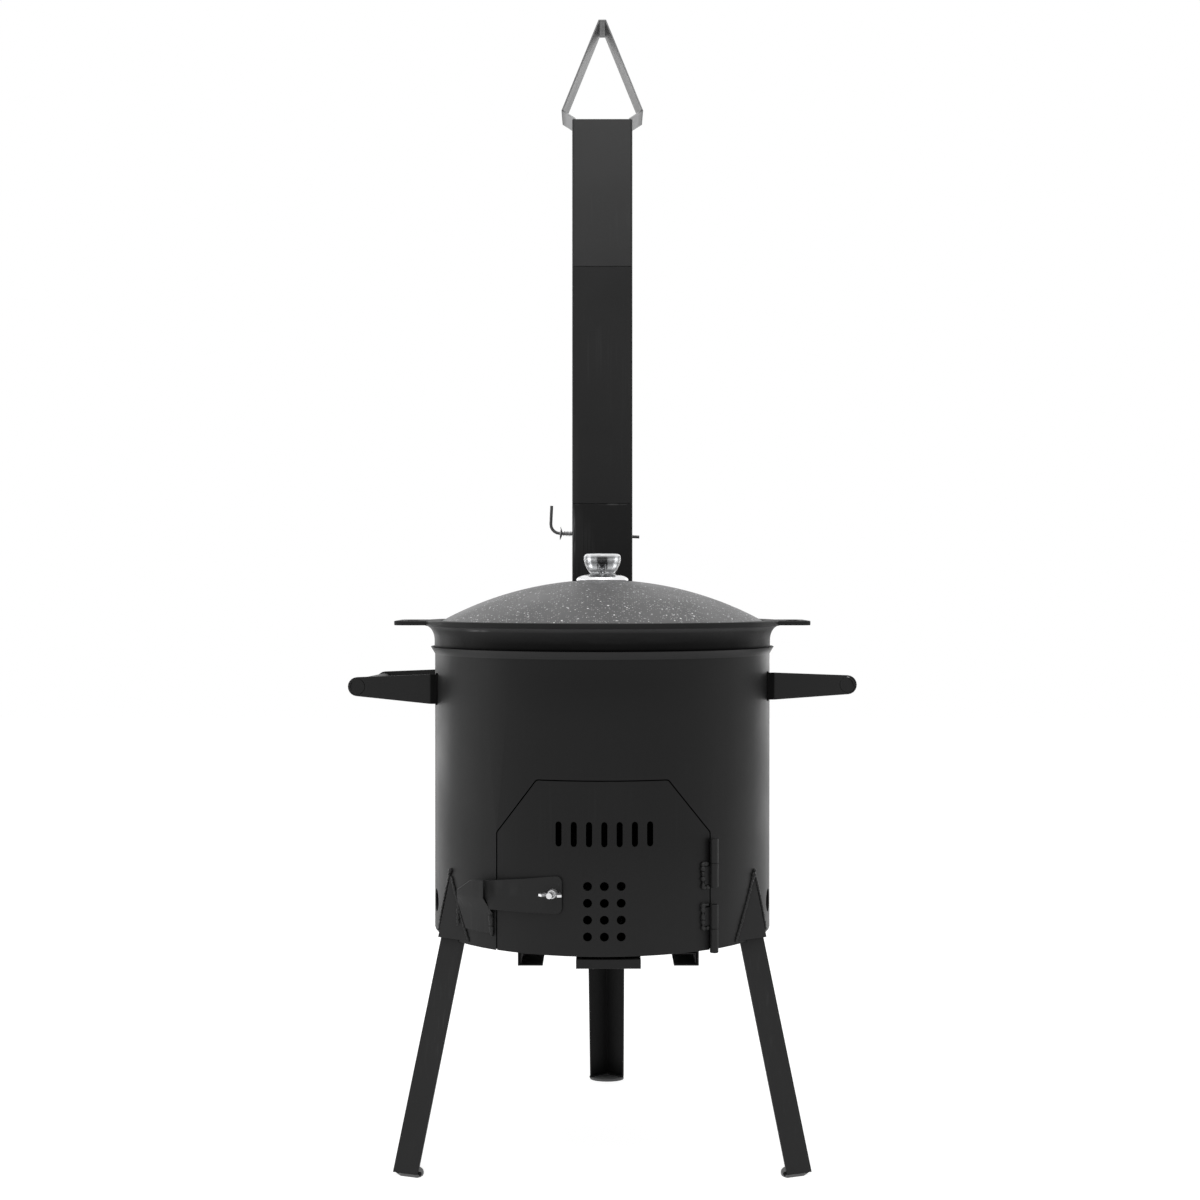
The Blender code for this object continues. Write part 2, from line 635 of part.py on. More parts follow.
def make_hinges(root, door_marker):
    """Each hinge has a knuckle with its pin on the drum and a bored knuckle on the door."""
    bore = PIN_RADIUS + PIN_CLEARANCE
    for which, rise in HINGE_SPLIT_RISES.items():
        direction = 1 if which == "upper" else -1
        split = DRUM_BOTTOM + rise
        frame = wall_frame(HINGE_AZIMUTH, HINGE_RADIUS, split) @ Matrix.Rotation(-math.pi / 2, 4, "X")
        gap = SEAT_GAP / 2
        fixed = [(0, KNUCKLE_LENGTH), (KNUCKLE_RADIUS - KNUCKLE_EDGE, KNUCKLE_LENGTH),
                 (KNUCKLE_RADIUS, KNUCKLE_LENGTH - KNUCKLE_EDGE), (KNUCKLE_RADIUS, gap), (PIN_RADIUS, gap),
                 (PIN_RADIUS, -PIN_LENGTH), (0, -PIN_LENGTH)]
        moving = [(bore, -gap), (KNUCKLE_RADIUS, -gap), (KNUCKLE_RADIUS, KNUCKLE_EDGE - KNUCKLE_LENGTH),
                  (KNUCKLE_RADIUS - KNUCKLE_EDGE, -KNUCKLE_LENGTH), (bore, -KNUCKLE_LENGTH)]
        fixed = [(radius, height * direction) for radius, height in fixed]
        moving = [(radius, height * direction) for radius, height in moving]
        add(f"hinge_{which}_pin", turned(f"hinge_{which}_pin", fixed, SMALL_STEPS), BLACK_PAINT, root, frame)
        barrel = turned(f"hinge_{which}_knuckle", moving, SMALL_STEPS)
        knuckle = add(f"hinge_{which}_knuckle", barrel, BLACK_PAINT, door_marker, frame)
        leaf_top = -direction * (KNUCKLE_LENGTH - LEAF_LENGTH) / 2
        leaf_bottom = leaf_top - direction * LEAF_LENGTH
        near = -bore - SEAT_GAP
        far = -KNUCKLE_RADIUS - LEAF_REACH
        leaf_low = (far, -KNUCKLE_RADIUS, min(leaf_top, leaf_bottom))
        leaf_high = (near, LEAF_THICKNESS - KNUCKLE_RADIUS, max(leaf_top, leaf_bottom))
        leaf = box("hinge_leaf", leaf_low, leaf_high)
        shape(knuckle, leaf, door_marker, leaf_frame(split), "UNION")


def leaf_frame(split):
    """Frame at a hinge split with X to the right along the wall, Y outwards and Z up."""
    swap = Matrix(((1, 0, 0, 0), (0, 0, 1, 0), (0, 1, 0, 0), (0, 0, 0, 1)))
    return wall_frame(HINGE_AZIMUTH, HINGE_RADIUS, split) @ swap


def strap_end_along():
    """Distance along the bolt's wall frame from the bolt to the strap's far end."""
    radius = DRUM_RADIUS + STRAP_END_STANDOFF
    turn = BOLT_AZIMUTH - STRAP_END_AZIMUTH
    return radius * math.sin(turn), radius * math.cos(turn)


def make_latch(door_marker):
    height = DRUM_BOTTOM + BOLT_RISE
    frame = wall_frame(BOLT_AZIMUTH, DRUM_RADIUS, height)
    head = -SHEET - SEAT_GAP
    crown = BOLT_HEAD_CROWN_SHARE
    bolt = [(0, BOLT_LENGTH), (BOLT_RADIUS, BOLT_LENGTH), (BOLT_RADIUS, head), (BOLT_HEAD_RADIUS, head),
            (BOLT_HEAD_RADIUS, head - BOLT_HEAD_HEIGHT * crown),
            (BOLT_HEAD_RADIUS * crown, head - BOLT_HEAD_HEIGHT), (0, head - BOLT_HEAD_HEIGHT)]
    add("latch_bolt", turned("latch_bolt", bolt, SMALL_STEPS), ZINC, door_marker, frame)
    marker = pivot("latch_pivot", frame.translation, door_marker)
    end_along, end_out = strap_end_along()
    inner = SEAT_GAP
    path = [(-end_along, end_out - DRUM_RADIUS), (-STRAP_BEND, inner), (STRAP_RIGHT, inner)]
    tall = STRAP_TOP_RIGHT + OVERRUN
    folded = prism("latch_strap", bent_sheet(path, STRAP_THICKNESS), -tall - OVERRUN, tall, "XZ")
    strap = add("latch_strap", folded, BLACK_PAINT, marker, frame)
    left = -end_along
    corners = [(left + STRAP_NOSE_WIDTH, -STRAP_BELOW), (STRAP_RIGHT, -STRAP_BELOW),
               (STRAP_RIGHT, STRAP_TOP_RIGHT), (left, STRAP_TOP_LEFT),
               (left, STRAP_NOSE_HEIGHT - STRAP_BELOW)]
    blank = rounded(corners, [0, STRAP_CORNER, STRAP_CORNER, 0, 0])
    shape(strap, prism("strap_blank", blank, -DRUM_RADIUS / 2, DRUM_RADIUS / 2), marker, frame, "INTERSECT")
    hole = prism("strap_hole", circle(BOLT_RADIUS + BOLT_CLEARANCE, HOLE_STEPS), -OVERRUN, OVERRUN)
    shape(strap, hole, marker, frame)
    foot = inner + STRAP_THICKNESS + SEAT_GAP
    bore = BOLT_RADIUS + BOLT_CLEARANCE
    hub = [(bore, foot), (NUT_RADIUS, foot), (NUT_RADIUS, foot + NUT_HEIGHT * NUT_CONE_SHARE),
           (NUT_RADIUS * NUT_CREST_SHARE, foot + NUT_HEIGHT), (bore, foot + NUT_HEIGHT)]
    nut_marker = pivot("wing_nut_pivot", frame.translation, door_marker)
    nut = add("wing_nut", turned("wing_nut", hub, SMALL_STEPS), ZINC, nut_marker, frame)
    wings = []
    for side in (-1, 1):
        corners = [(side * WING_ROOT, foot + WING_FOOT),
                   (side * (NUT_RADIUS + WING_SPAN) / 2, foot + WING_FOOT),
                   (side * WING_SPAN, foot + WING_RISE - WING_CORNER),
                   (side * WING_SPAN * WING_TIP_SHARE, foot + WING_RISE),
                   (side * WING_ROOT, foot + NUT_HEIGHT - WING_FOOT / 2)]
        wings.append(corners)
    half = WING_THICKNESS / 2
    shape(nut, side_by_side("wings", wings, -half, half, "XZ"), nut_marker, frame, "UNION")


def make_catch(root):
    radius = DRUM_RADIUS + SEAT_GAP
    path = [(radius, DRUM_BOTTOM + CATCH_BASE_RISE), (radius, DRUM_BOTTOM + CATCH_BEND_RISE),
            (DRUM_RADIUS + CATCH_STANDOFF, DRUM_BOTTOM + CATCH_RAISED_RISE),
            (DRUM_RADIUS + CATCH_STANDOFF, DRUM_BOTTOM + CATCH_TOP_RISE)]
    outline = bent_sheet(path, -SHEET)
    start = CATCH_START - math.pi / 2
    mesh = turned("latch_catch", outline, CATCH_STEPS, start, CATCH_END - CATCH_START)
    catch = add("latch_catch", mesh, BLACK_PAINT, root)
    corners = [(CATCH_FOOT_LEFT_ANGLE, CATCH_FOOT_RISE), (CATCH_FOOT_ANGLE, CATCH_FOOT_RISE),
               (CATCH_SLOPE_ANGLE, CATCH_BEND_RISE), (CATCH_EDGE_ANGLE, CATCH_RAISED_RISE),
               (CATCH_EDGE_ANGLE, CATCH_EDGE_TOP_RISE), (CATCH_CORNER_ANGLE, CATCH_CORNER_RISE),
               (CATCH_LEFT_ANGLE, CATCH_LEFT_RISE), (CATCH_LEFT_ANGLE, CATCH_LEFT_LOW_RISE)]
    outline = [(-DRUM_RADIUS * math.sin(angle), DRUM_BOTTOM + rise) for angle, rise in corners]
    blank = prism("catch_blank", outline, -DRUM_RADIUS - 2 * OVERRUN, 0, "XZ")
    shape(catch, blank, root, operation="INTERSECT")


def vee(half_angle, flange, thickness, ridge_radius, height):
    """Angle section seen from above, its corner pointing outwards at -Y."""
    along = Vector((math.sin(half_angle), math.cos(half_angle)))
    inwards = Vector((-math.cos(half_angle), math.sin(half_angle)))
    ridge = Vector((0, -ridge_radius))
    right_out = ridge + along * flange
    right_in = right_out + inwards * thickness
    inner_ridge = ridge + Vector((0, thickness / math.sin(half_angle)))
    right = [ridge, right_out, right_in]
    left = [Vector((-point.x, point.y)) for point in (right_in, right_out)]
    return [(point.x, point.y, height) for point in right + [inner_ridge] + left]


def ridge_at(height):
    """Radius of the leg's outer corner at a height."""
    return LEG_RIDGE_RADIUS + (DRUM_BOTTOM - height) * math.tan(LEG_SPLAY)


def foot_outline():
    """Plate under the angle section, cut short at its corner and ending in a round tongue inside."""
    ridge = ridge_at(FOOT_THICKNESS)
    half = LEG_FLANGE * math.sin(LEG_HALF_ANGLE_FOOT)
    back = -ridge + LEG_FLANGE * math.cos(LEG_HALF_ANGLE_FOOT)
    steps = 2 * ARC_STEPS
    tongue = []
    for index in range(steps + 1):
        angle = math.pi * index / steps
        tongue.append((half * math.cos(angle), back + FOOT_TONGUE * math.sin(angle)))
    return [(-FOOT_TIP_HALF, FOOT_INSET - ridge), (FOOT_TIP_HALF, FOOT_INSET - ridge)] + tongue


def make_legs(root):
    """Three sockets welded on the drum and three legs that slip into them from below."""
    rise = (SOCKET_RIDGE_RADIUS - DRUM_RADIUS) / math.tan(SOCKET_SPLAY)
    socket_top = SOCKET_BOTTOM + rise - SOCKET_TOP_MARGIN
    socket_top_ridge = SOCKET_RIDGE_RADIUS - (socket_top - SOCKET_BOTTOM) * math.tan(SOCKET_SPLAY)
    leg_top = DRUM_BOTTOM + LEG_INSERT
    for side, azimuth in LEG_AZIMUTHS.items():
        frame = Matrix.Rotation(azimuth, 4, "Z")
        rings = [vee(SOCKET_HALF_ANGLE, SOCKET_FLANGE, SHEET, SOCKET_RIDGE_RADIUS, SOCKET_BOTTOM),
                 vee(SOCKET_HALF_ANGLE, SOCKET_FLANGE, SHEET, socket_top_ridge, socket_top)]
        socket = add(f"leg_socket_{side}", loft("leg_socket", rings), BLACK_PAINT, root, frame)
        shape(socket, drum_tool("socket_trim", SEAT_GAP, DRUM_BOTTOM - OVERRUN, socket_top + OVERRUN), root)
        marker = pivot(f"leg_{side}_pivot", polar(ridge_at(leg_top), azimuth, leg_top), root)
        low = FOOT_THICKNESS + SEAT_GAP
        rings = [vee(LEG_HALF_ANGLE_FOOT, LEG_FLANGE, LEG_THICKNESS, ridge_at(low), low),
                 vee(LEG_HALF_ANGLE_TOP, LEG_FLANGE, LEG_THICKNESS, ridge_at(leg_top), leg_top)]
        leg = add(f"leg_{side}", loft("leg", rings), BLACK_PAINT, marker, frame)
        trim_low = DRUM_BOTTOM - LEG_CLEARANCE
        shape(leg, drum_tool("leg_trim", LEG_CLEARANCE, trim_low, leg_top + OVERRUN), marker)
        foot = prism("foot_plate", foot_outline(), 0, FOOT_THICKNESS)
        add(f"foot_{side}", foot, BLACK_PAINT, marker, frame)


def handle_centre():
    """Radius of the middle of a handle's bar."""
    return DRUM_RADIUS + HANDLE_LENGTH - ARM_END_RADIUS


def arm_outline(side):
    """Side view of a handle arm: tall and flat-edged at the drum, round at the far end."""
    centre = handle_centre()
    root_top = ARM_ROOT_TOPS[side]
    root_bottom = ARM_ROOT_BOTTOMS[side]
    start = math.sqrt(DRUM_RADIUS ** 2 - HANDLE_HALF_WIDTH ** 2) - OVERRUN
    shoulder = start + OVERRUN + ARM_ROOT_FLAT
    run = centre - shoulder
    top_lean = math.atan2(root_top, run) - math.asin(ARM_END_RADIUS / math.hypot(run, root_top))
    low_lean = math.atan2(root_bottom, run) - math.asin(ARM_END_RADIUS / math.hypot(run, root_bottom))
    points = [(shoulder, root_top), (start, root_top), (start, -root_bottom), (shoulder, -root_bottom)]
    steps = 2 * ARC_STEPS
    first = low_lean - math.pi / 2
    last = math.pi / 2 - top_lean
    for index in range(steps + 1):
        angle = first + (last - first) * index / steps
        points.append((centre + ARM_END_RADIUS * math.cos(angle), ARM_END_RADIUS * math.sin(angle)))
    return [(-radius, DRUM_BOTTOM + HANDLE_RISES[side] + height) for radius, height in points]


def make_handles(root):
    inner = HANDLE_HALF_WIDTH - ARM_THICKNESS
    for side, azimuth in HANDLE_AZIMUTHS.items():
        centre_height = DRUM_BOTTOM + HANDLE_RISES[side]
        centre = handle_centre()
        lift = Matrix.Translation((0, 0, centre_height))
        roll = lift @ Matrix.Rotation(HANDLE_ROLLS[side], 4, "Y") @ lift.inverted()
        frame = Matrix.Rotation(azimuth, 4, "Z") @ roll
        for end, low, high in (("left", -HANDLE_HALF_WIDTH, -inner), ("right", inner, HANDLE_HALF_WIDTH)):
            blank = prism("handle_arm", arm_outline(side), low, high, "YZ")
            arm = add(f"handle_{side}_arm_{end}", blank, BLACK_PAINT, root, frame)
            trim = drum_tool("arm_trim", SEAT_GAP, centre_height - ARM_ROOT_BOTTOMS[side] - OVERRUN,
                             centre_height + ARM_ROOT_TOPS[side] + OVERRUN)
            shape(arm, trim, root)
            hole = circle(GRIP_RADIUS + SEAT_GAP, SMALL_STEPS, (-centre, centre_height))
            shape(arm, prism("grip_hole", hole, low - OVERRUN, high + OVERRUN, "YZ"), root, frame)
        bar = circle(GRIP_RADIUS, SMALL_STEPS, (-centre, centre_height))
        grip = prism("handle_grip", bar, -HANDLE_HALF_WIDTH, HANDLE_HALF_WIDTH, "YZ")
        add(f"handle_{side}_grip", grip, BLACK_PAINT, root, frame)


def make_ash_slide(root):
    rail_top = BOTTOM_PLATE_LOW - SEAT_GAP
    rail_low = rail_top - RAIL_HEIGHT
    for side, sign in (("left", -1), ("right", 1)):
        inner = sign * RAIL_INNER_HALF
        outer = sign * (RAIL_INNER_HALF + RAIL_WIDTH)
        path = [(SLIDE_SHIFT + inner, rail_top), (SLIDE_SHIFT + outer, rail_top),
                (SLIDE_SHIFT + outer, rail_low), (SLIDE_SHIFT + inner, rail_low)]
        outline = bent_sheet(path, -sign * SLIDE_SHEET)
        rail = prism("slide_rail", outline, RAIL_FRONT, RAIL_BACK, "XZ")
        add(f"slide_rail_{side}", rail, BLACK_PAINT, root)
    half = RAIL_INNER_HALF + RAIL_WIDTH - SLIDE_SHEET - SLIDE_PLAY
    hem_low = rail_low + SLIDE_SHEET + SEAT_GAP
    top = DRUM_BOTTOM - SLIDE_TOP_DROP
    marker = pivot("ash_slide_pivot", (SLIDE_SHIFT, SLIDE_FRONT, top), root)
    path = [(SLIDE_SHIFT - half, hem_low), (SLIDE_SHIFT - half, top), (SLIDE_SHIFT + half, top),
            (SLIDE_SHIFT + half, hem_low)]
    outline = bent_sheet(path, -SLIDE_SHEET)
    slide = add("ash_slide", prism("ash_slide", outline, SLIDE_FRONT, SLIDE_BACK, "XZ"), BLACK_PAINT, marker)
    path = [(SLIDE_LIP_FRONT, DRUM_BOTTOM - SLIDE_LIP_DROP), (SLIDE_LIP_FRONT, top),
            (SLIDE_FRONT + OVERRUN, top)]
    tongue = prism("slide_lip", bent_sheet(path, -SLIDE_SHEET), SLIDE_SHIFT - SLIDE_LIP_HALF,
                   SLIDE_SHIFT + SLIDE_LIP_HALF, "YZ")
    shape(slide, tongue, marker, None, "UNION")


def bowl_points(radius, depth, neck_radius, from_height):
    """Quarter ellipse from the neck radius down to the middle of the bowl."""
    start = math.acos(min(1, neck_radius / radius))
    points = []
    for index in range(BOWL_STEPS + 1):
        angle = start + (math.pi / 2 - start) * index / BOWL_STEPS
        points.append((radius * math.cos(angle), from_height - depth * math.sin(angle)))
    points[-1] = (0, from_height - depth)
    return points


def make_cauldron(root):
    seat = DRUM_TOP - LIP_HEIGHT
    seat_radius = DRUM_BORE - SEAT_GAP
    rim_low = CAULDRON_TOP - RIM_THICKNESS
    fillet_height = rim_low - DRUM_TOP - BOWL_NECK_RISE
    outer_bowl = bowl_points(seat_radius, BOWL_DEPTH, seat_radius, seat)
    inner_radius = seat_radius - BOWL_WALL
    ledge_radius = LID_RADIUS + LID_CLEARANCE - LEDGE_WIDTH
    mouth_radius = min(inner_radius, ledge_radius)
    inner_bowl = bowl_points(inner_radius, BOWL_DEPTH - BOWL_WALL, mouth_radius, seat)
    fillet = []
    for index in range(ARC_STEPS + 1):
        angle = math.pi / 2 * index / ARC_STEPS
        fillet.append((BOWL_NECK_RADIUS + BOWL_FILLET_WIDTH * (1 - math.sin(angle)),
                       rim_low - fillet_height * (1 - math.cos(angle))))
    profile = [(LID_RADIUS + LID_CLEARANCE, CAULDRON_TOP), (RIM_RADIUS, CAULDRON_TOP), (RIM_RADIUS, rim_low)]
    profile += fillet + [(BOWL_NECK_RADIUS, DRUM_TOP)] + outer_bowl + inner_bowl[::-1]
    profile += [(ledge_radius, LEDGE_TOP), (LID_RADIUS + LID_CLEARANCE, LEDGE_TOP)]
    marker = pivot("cauldron_pivot", (0, 0, seat), root)
    cauldron = add("cauldron", turned("cauldron", profile), CAST_IRON, marker)
    low = CAULDRON_TOP - LUG_THICKNESS
    lug_root = RIM_RADIUS - LUG_ROOT_DEPTH
    lug_tip = RIM_RADIUS + LUG_LENGTH
    slot_middle = RIM_RADIUS + LUG_SLOT_MARGIN + LUG_SLOT_WIDTH / 2
    for sign in (-1, 1):
        corners = [(sign * lug_root, -LUG_HALF_WIDTH), (sign * lug_tip, -LUG_HALF_WIDTH),
                   (sign * lug_tip, LUG_HALF_WIDTH), (sign * lug_root, LUG_HALF_WIDTH)]
        outline = rounded(corners, [0, LUG_CORNER, LUG_CORNER, 0])
        shape(cauldron, prism("lug", outline, low, CAULDRON_TOP - SEAT_GAP), marker, None, "UNION")
        slot = slot_outline(sign * slot_middle, 0, LUG_SLOT_WIDTH, 2 * LUG_SLOT_HALF, SLOT_STEPS)
        shape(cauldron, prism("lug_slot", slot, low - OVERRUN, CAULDRON_TOP + OVERRUN), marker)
    return marker


def dome_height(radius):
    """Height of the lid's outer face: a flat crest inside one spherical arc."""
    crest = math.sqrt(LID_ARC_RADIUS ** 2 - LID_CREST_RADIUS ** 2)
    here = math.sqrt(LID_ARC_RADIUS ** 2 - max(radius, LID_CREST_RADIUS) ** 2)
    return LID_TOP - crest + here


def make_lid(cauldron_marker):
    marker = pivot("lid_pivot", (0, 0, LID_LOW), cauldron_marker)
    radii = [LID_HOLE_RADIUS]
    for index in range(LID_STEPS + 1):
        radii.append(LID_CREST_RADIUS + (LID_RADIUS - LID_CREST_RADIUS) * index / LID_STEPS)
    outer = [(radius, dome_height(radius)) for radius in radii]
    inner_edge = LID_RADIUS - LID_SHEET
    inner_radii = [min(radius, inner_edge) for radius in radii]
    inner = [(radius, dome_height(radius) - LID_SHEET) for radius in inner_radii[:-1]]
    profile = outer + [(LID_RADIUS, LID_LOW), (inner_edge, LID_LOW)] + inner[::-1]
    add("lid_dome", turned("lid_dome", profile), SPECKLED_ENAMEL, marker)
    foot = LID_TOP + SEAT_GAP
    top = foot + KNOB_PLATE_HEIGHT
    plate = [(LID_HOLE_RADIUS, foot)]
    for across, up in PLATE_PROFILE_SHARES:
        plate.append((KNOB_PLATE_RADIUS * across, foot + KNOB_PLATE_HEIGHT * up))
    plate += [(KNOB_SEAT_RADIUS, top), (LID_HOLE_RADIUS, top)]
    add("knob_plate", turned("knob_plate", plate, FINE_STEPS), POLISHED_STEEL, marker)
    base = top + SEAT_GAP
    crown = base + KNOB_HEIGHT
    knob = [(LID_HOLE_RADIUS, base)]
    for across, up in KNOB_PROFILE_SHARES:
        knob.append((KNOB_RADIUS * across, base + KNOB_HEIGHT * up))
    knob += [(KNOB_DISH_RADIUS, crown - KNOB_DISH), (0, crown - KNOB_DISH), (0, base + KNOB_BORE_DEPTH),
             (LID_HOLE_RADIUS, base + KNOB_BORE_DEPTH)]
    add("glass_knob", turned("glass_knob", knob, FINE_STEPS), CLEAR_GLASS, marker)
    head = LID_TOP - LID_SHEET - SEAT_GAP
    tip = base + KNOB_BORE_DEPTH - SEAT_GAP
    screw = [(0, tip), (SCREW_RADIUS, tip), (SCREW_RADIUS, head), (SCREW_HEAD_RADIUS, head),
             (SCREW_HEAD_RADIUS, head - SCREW_HEAD_HEIGHT), (0, head - SCREW_HEAD_HEIGHT)]
    add("knob_screw", turned("knob_screw", screw, HOLE_STEPS), POLISHED_STEEL, marker)


def square_corners(half):
    return [(half, -half), (half, half), (-half, half), (-half, -half)]


def square_tube(name, half, wall, low, high):
    """Folded square pipe, open at both ends."""
    inner_corner = max(PIPE_CORNER - wall, wall / 4)
    outer = rounded(square_corners(half), PIPE_CORNER, FOLD_STEPS)
    inner = rounded(square_corners(half - wall), inner_corner, FOLD_STEPS)
    rings = [[(x, y, low) for x, y in outer], [(x, y, high) for x, y in outer],
             [(x, y, high) for x, y in inner], [(x, y, low) for x, y in inner]]
    return loft(name, rings, loop=True)


def make_flue(root):
    frame = Matrix.Translation((0, PIPE_CENTRE, 0))
    half = PIPE_SIDE / 2
    bore = half - PIPE_WALL
    stub_bottom = DRUM_BOTTOM + STUB_BOTTOM_RISE
    tube = square_tube("flue_stub", half, PIPE_WALL, stub_bottom, STUB_TOP)
    stub = add("flue_stub", tube, BLACK_PAINT, root, frame)
    inner = half - NECK_INSET - SHEET
    low = DRUM_BOTTOM + NECK_LOW_RISE
    high = DRUM_BOTTOM + NECK_HIGH_RISE
    window_low = (-inner, -half - OVERRUN, low + SHEET)
    window = box("stub_window", window_low, (inner, -bore + OVERRUN, high - SHEET))
    shape(stub, window, root, frame)
    rod_height = STUB_TOP - DAMPER_DROP
    holes = circle(ROD_RADIUS + ROD_CLEARANCE, PORT_STEPS)
    rod_frame = frame @ Matrix.Translation((0, 0, rod_height)) @ Matrix.Rotation(DAMPER_LEAN, 4, "Y")
    shape(stub, prism("rod_holes", holes, -half - OVERRUN, half + OVERRUN, "YZ"), root, rod_frame)
    floor = bore - SEAT_GAP
    disc = box("flue_floor", (-floor, -floor, stub_bottom), (floor, floor, stub_bottom + PIPE_WALL))
    add("flue_floor", disc, BLACK_PAINT, root, frame)
    outer = half - NECK_INSET
    start = math.sqrt(DRUM_RADIUS ** 2 - outer ** 2) - OVERRUN
    end = PIPE_FRONT - SEAT_GAP
    rings = []
    for side, sheet, y in ((outer, 0, start), (outer, 0, end), (inner, SHEET, end), (inner, SHEET, start)):
        bottom = low + sheet
        top = high - sheet
        rings.append([(-side, y, bottom), (side, y, bottom), (side, y, top), (-side, y, top)])
    neck = add("flue_neck", loft("flue_neck", rings, loop=True), BLACK_PAINT, root)
    shape(neck, drum_tool("neck_trim", SEAT_GAP, low - OVERRUN, high + OVERRUN), root)
    sleeve_half = bore - SEAT_GAP
    sleeve = square_tube("stub_sleeve", sleeve_half, SLEEVE_WALL, STUB_TOP - SLEEVE_HALF_LENGTH,
                         STUB_TOP + SLEEVE_HALF_LENGTH)
    add("stub_sleeve", sleeve, BLACK_PAINT, root, frame)


def make_pipes(root):
    frame = Matrix.Translation((0, PIPE_CENTRE, 0))
    half = PIPE_SIDE / 2
    bore = half - PIPE_WALL
    lower_marker = pivot("lower_pipe_pivot", (0, PIPE_CENTRE, STUB_TOP), root)
    lower = square_tube("lower_pipe", half, PIPE_WALL, STUB_TOP + SEAT_GAP, LOWER_PIPE_TOP)
    add("lower_pipe", lower, BLACK_PAINT, lower_marker, frame)
    sleeve = square_tube("pipe_sleeve", bore - SEAT_GAP, SLEEVE_WALL, LOWER_PIPE_TOP - SLEEVE_HALF_LENGTH,
                         LOWER_PIPE_TOP + SLEEVE_HALF_LENGTH)
    add("pipe_sleeve", sleeve, BLACK_PAINT, lower_marker, frame)
    upper_marker = pivot("upper_pipe_pivot", (0, PIPE_CENTRE, LOWER_PIPE_TOP), lower_marker)
    upper = square_tube("upper_pipe", half, PIPE_WALL, LOWER_PIPE_TOP + SEAT_GAP, UPPER_PIPE_TOP)
    add("upper_pipe", upper, BLACK_PAINT, upper_marker, frame)
    tab = bore - SEAT_GAP
    shoulder = UPPER_PIPE_TOP + CAP_SHEET + SEAT_GAP
    ear = UPPER_PIPE_TOP + CAP_EAR_RISE
    apex = UPPER_PIPE_TOP + CAP_APEX_RISE
    right = [(tab, UPPER_PIPE_TOP - CAP_TAB), (tab, shoulder - CAP_SHEET / 2), (CAP_EAR_HALF, ear),
             (CAP_APEX_HALF, apex)]
    path = right + [(-x, z) for x, z in reversed(right)]
    deep = tab - CAP_SIDE_PLAY
    cap = prism("cap_strip", bent_sheet(path, CAP_SHEET), -deep, deep, "XZ")
    add("cap_strip", cap, BLACK_PAINT, upper_marker, frame)


def rod_points():
    """Damper rod's centre line: the handle's tip, a round bend, then straight across the pipe."""
    points = [(-ROD_LEFT, 0, ROD_HANDLE)]
    for index in range(ARC_STEPS + 1):
        angle = math.pi / 2 * index / ARC_STEPS
        points.append((-ROD_LEFT + ROD_BEND * (1 - math.cos(angle)), 0, ROD_BEND * (1 - math.sin(angle))))
    return points + [(ROD_RIGHT, 0, 0)]


def wire(name, points, radius, resolution):
    """Round wire along points, with closed ends."""
    curve = bpy.data.curves.new(name, "CURVE")
    curve.dimensions = "3D"
    curve.bevel_depth = radius
    curve.bevel_resolution = resolution
    curve.use_fill_caps = True
    spline = curve.splines.new("POLY")
    spline.points.add(len(points) - 1)
    for point, place in zip(spline.points, points):
        point.co = (*place, 1)
    return curve


def spring_points(start, end):
    """Coil between the pipe's wall and the washer, with a short straight end at each side."""
    straight = 2 * SPRING_WIRE
    count = SPRING_TURNS * SPRING_POINTS
    points = [(start, 0, SPRING_RADIUS)]
    for index in range(count + 1):
        angle = math.tau * index / SPRING_POINTS
        place = start - straight - (start - end - 2 * straight) * index / count
        points.append((place, SPRING_RADIUS * math.sin(angle), SPRING_RADIUS * math.cos(angle)))
    points.append((end, 0, SPRING_RADIUS))
    return points


def least_gap(points):
    """Smallest clear distance between turns of the coil."""
    least = math.inf
    for index, here in enumerate(points):
        for other in points[index + SPRING_POINTS // 2:]:
            least = min(least, (Vector(here) - Vector(other)).length - 2 * SPRING_WIRE)
    return least


def make_damper(root):
    height = STUB_TOP - DAMPER_DROP
    marker = pivot("damper_pivot", (0, PIPE_CENTRE, height), root)
    frame = Matrix.Translation((0, PIPE_CENTRE, height)) @ Matrix.Rotation(DAMPER_LEAN, 4, "Y")
    add("damper_rod", wire("damper_rod", rod_points(), ROD_RADIUS, 2), BLACK_PAINT, marker, frame)
    half = PIPE_SIDE / 2 - PIPE_WALL - SEAT_GAP - SLEEVE_WALL - DAMPER_PLAY
    face = ROD_RADIUS + SEAT_GAP
    plate = box("damper_plate", (-half, face, -half), (half, face + DAMPER_SHEET, half))
    add("damper_plate", plate, BLACK_PAINT, marker, frame)
    start = -PIPE_SIDE / 2 - SPRING_SEAT
    end = start - SPRING_LENGTH
    coil = spring_points(start, end)
    print("least gap between spring turns, mm:", round(least_gap(coil) * 1000, 2))
    add("damper_spring", wire("damper_spring", coil, SPRING_WIRE, 1), ZINC, marker, frame)
    bore = ROD_RADIUS + ROD_CLEARANCE
    inner = end - SEAT_GAP
    profile = [(bore, 0), (WASHER_RADIUS, -WASHER_CONE), (WASHER_RADIUS, -WASHER_CONE - WASHER_SHEET),
               (bore, -WASHER_SHEET)]
    washer_frame = frame @ Matrix.Translation((inner, 0, 0)) @ Matrix.Rotation(math.pi / 2, 4, "Y")
    add("damper_washer", turned("damper_washer", profile, SMALL_STEPS), ZINC, marker, washer_frame)


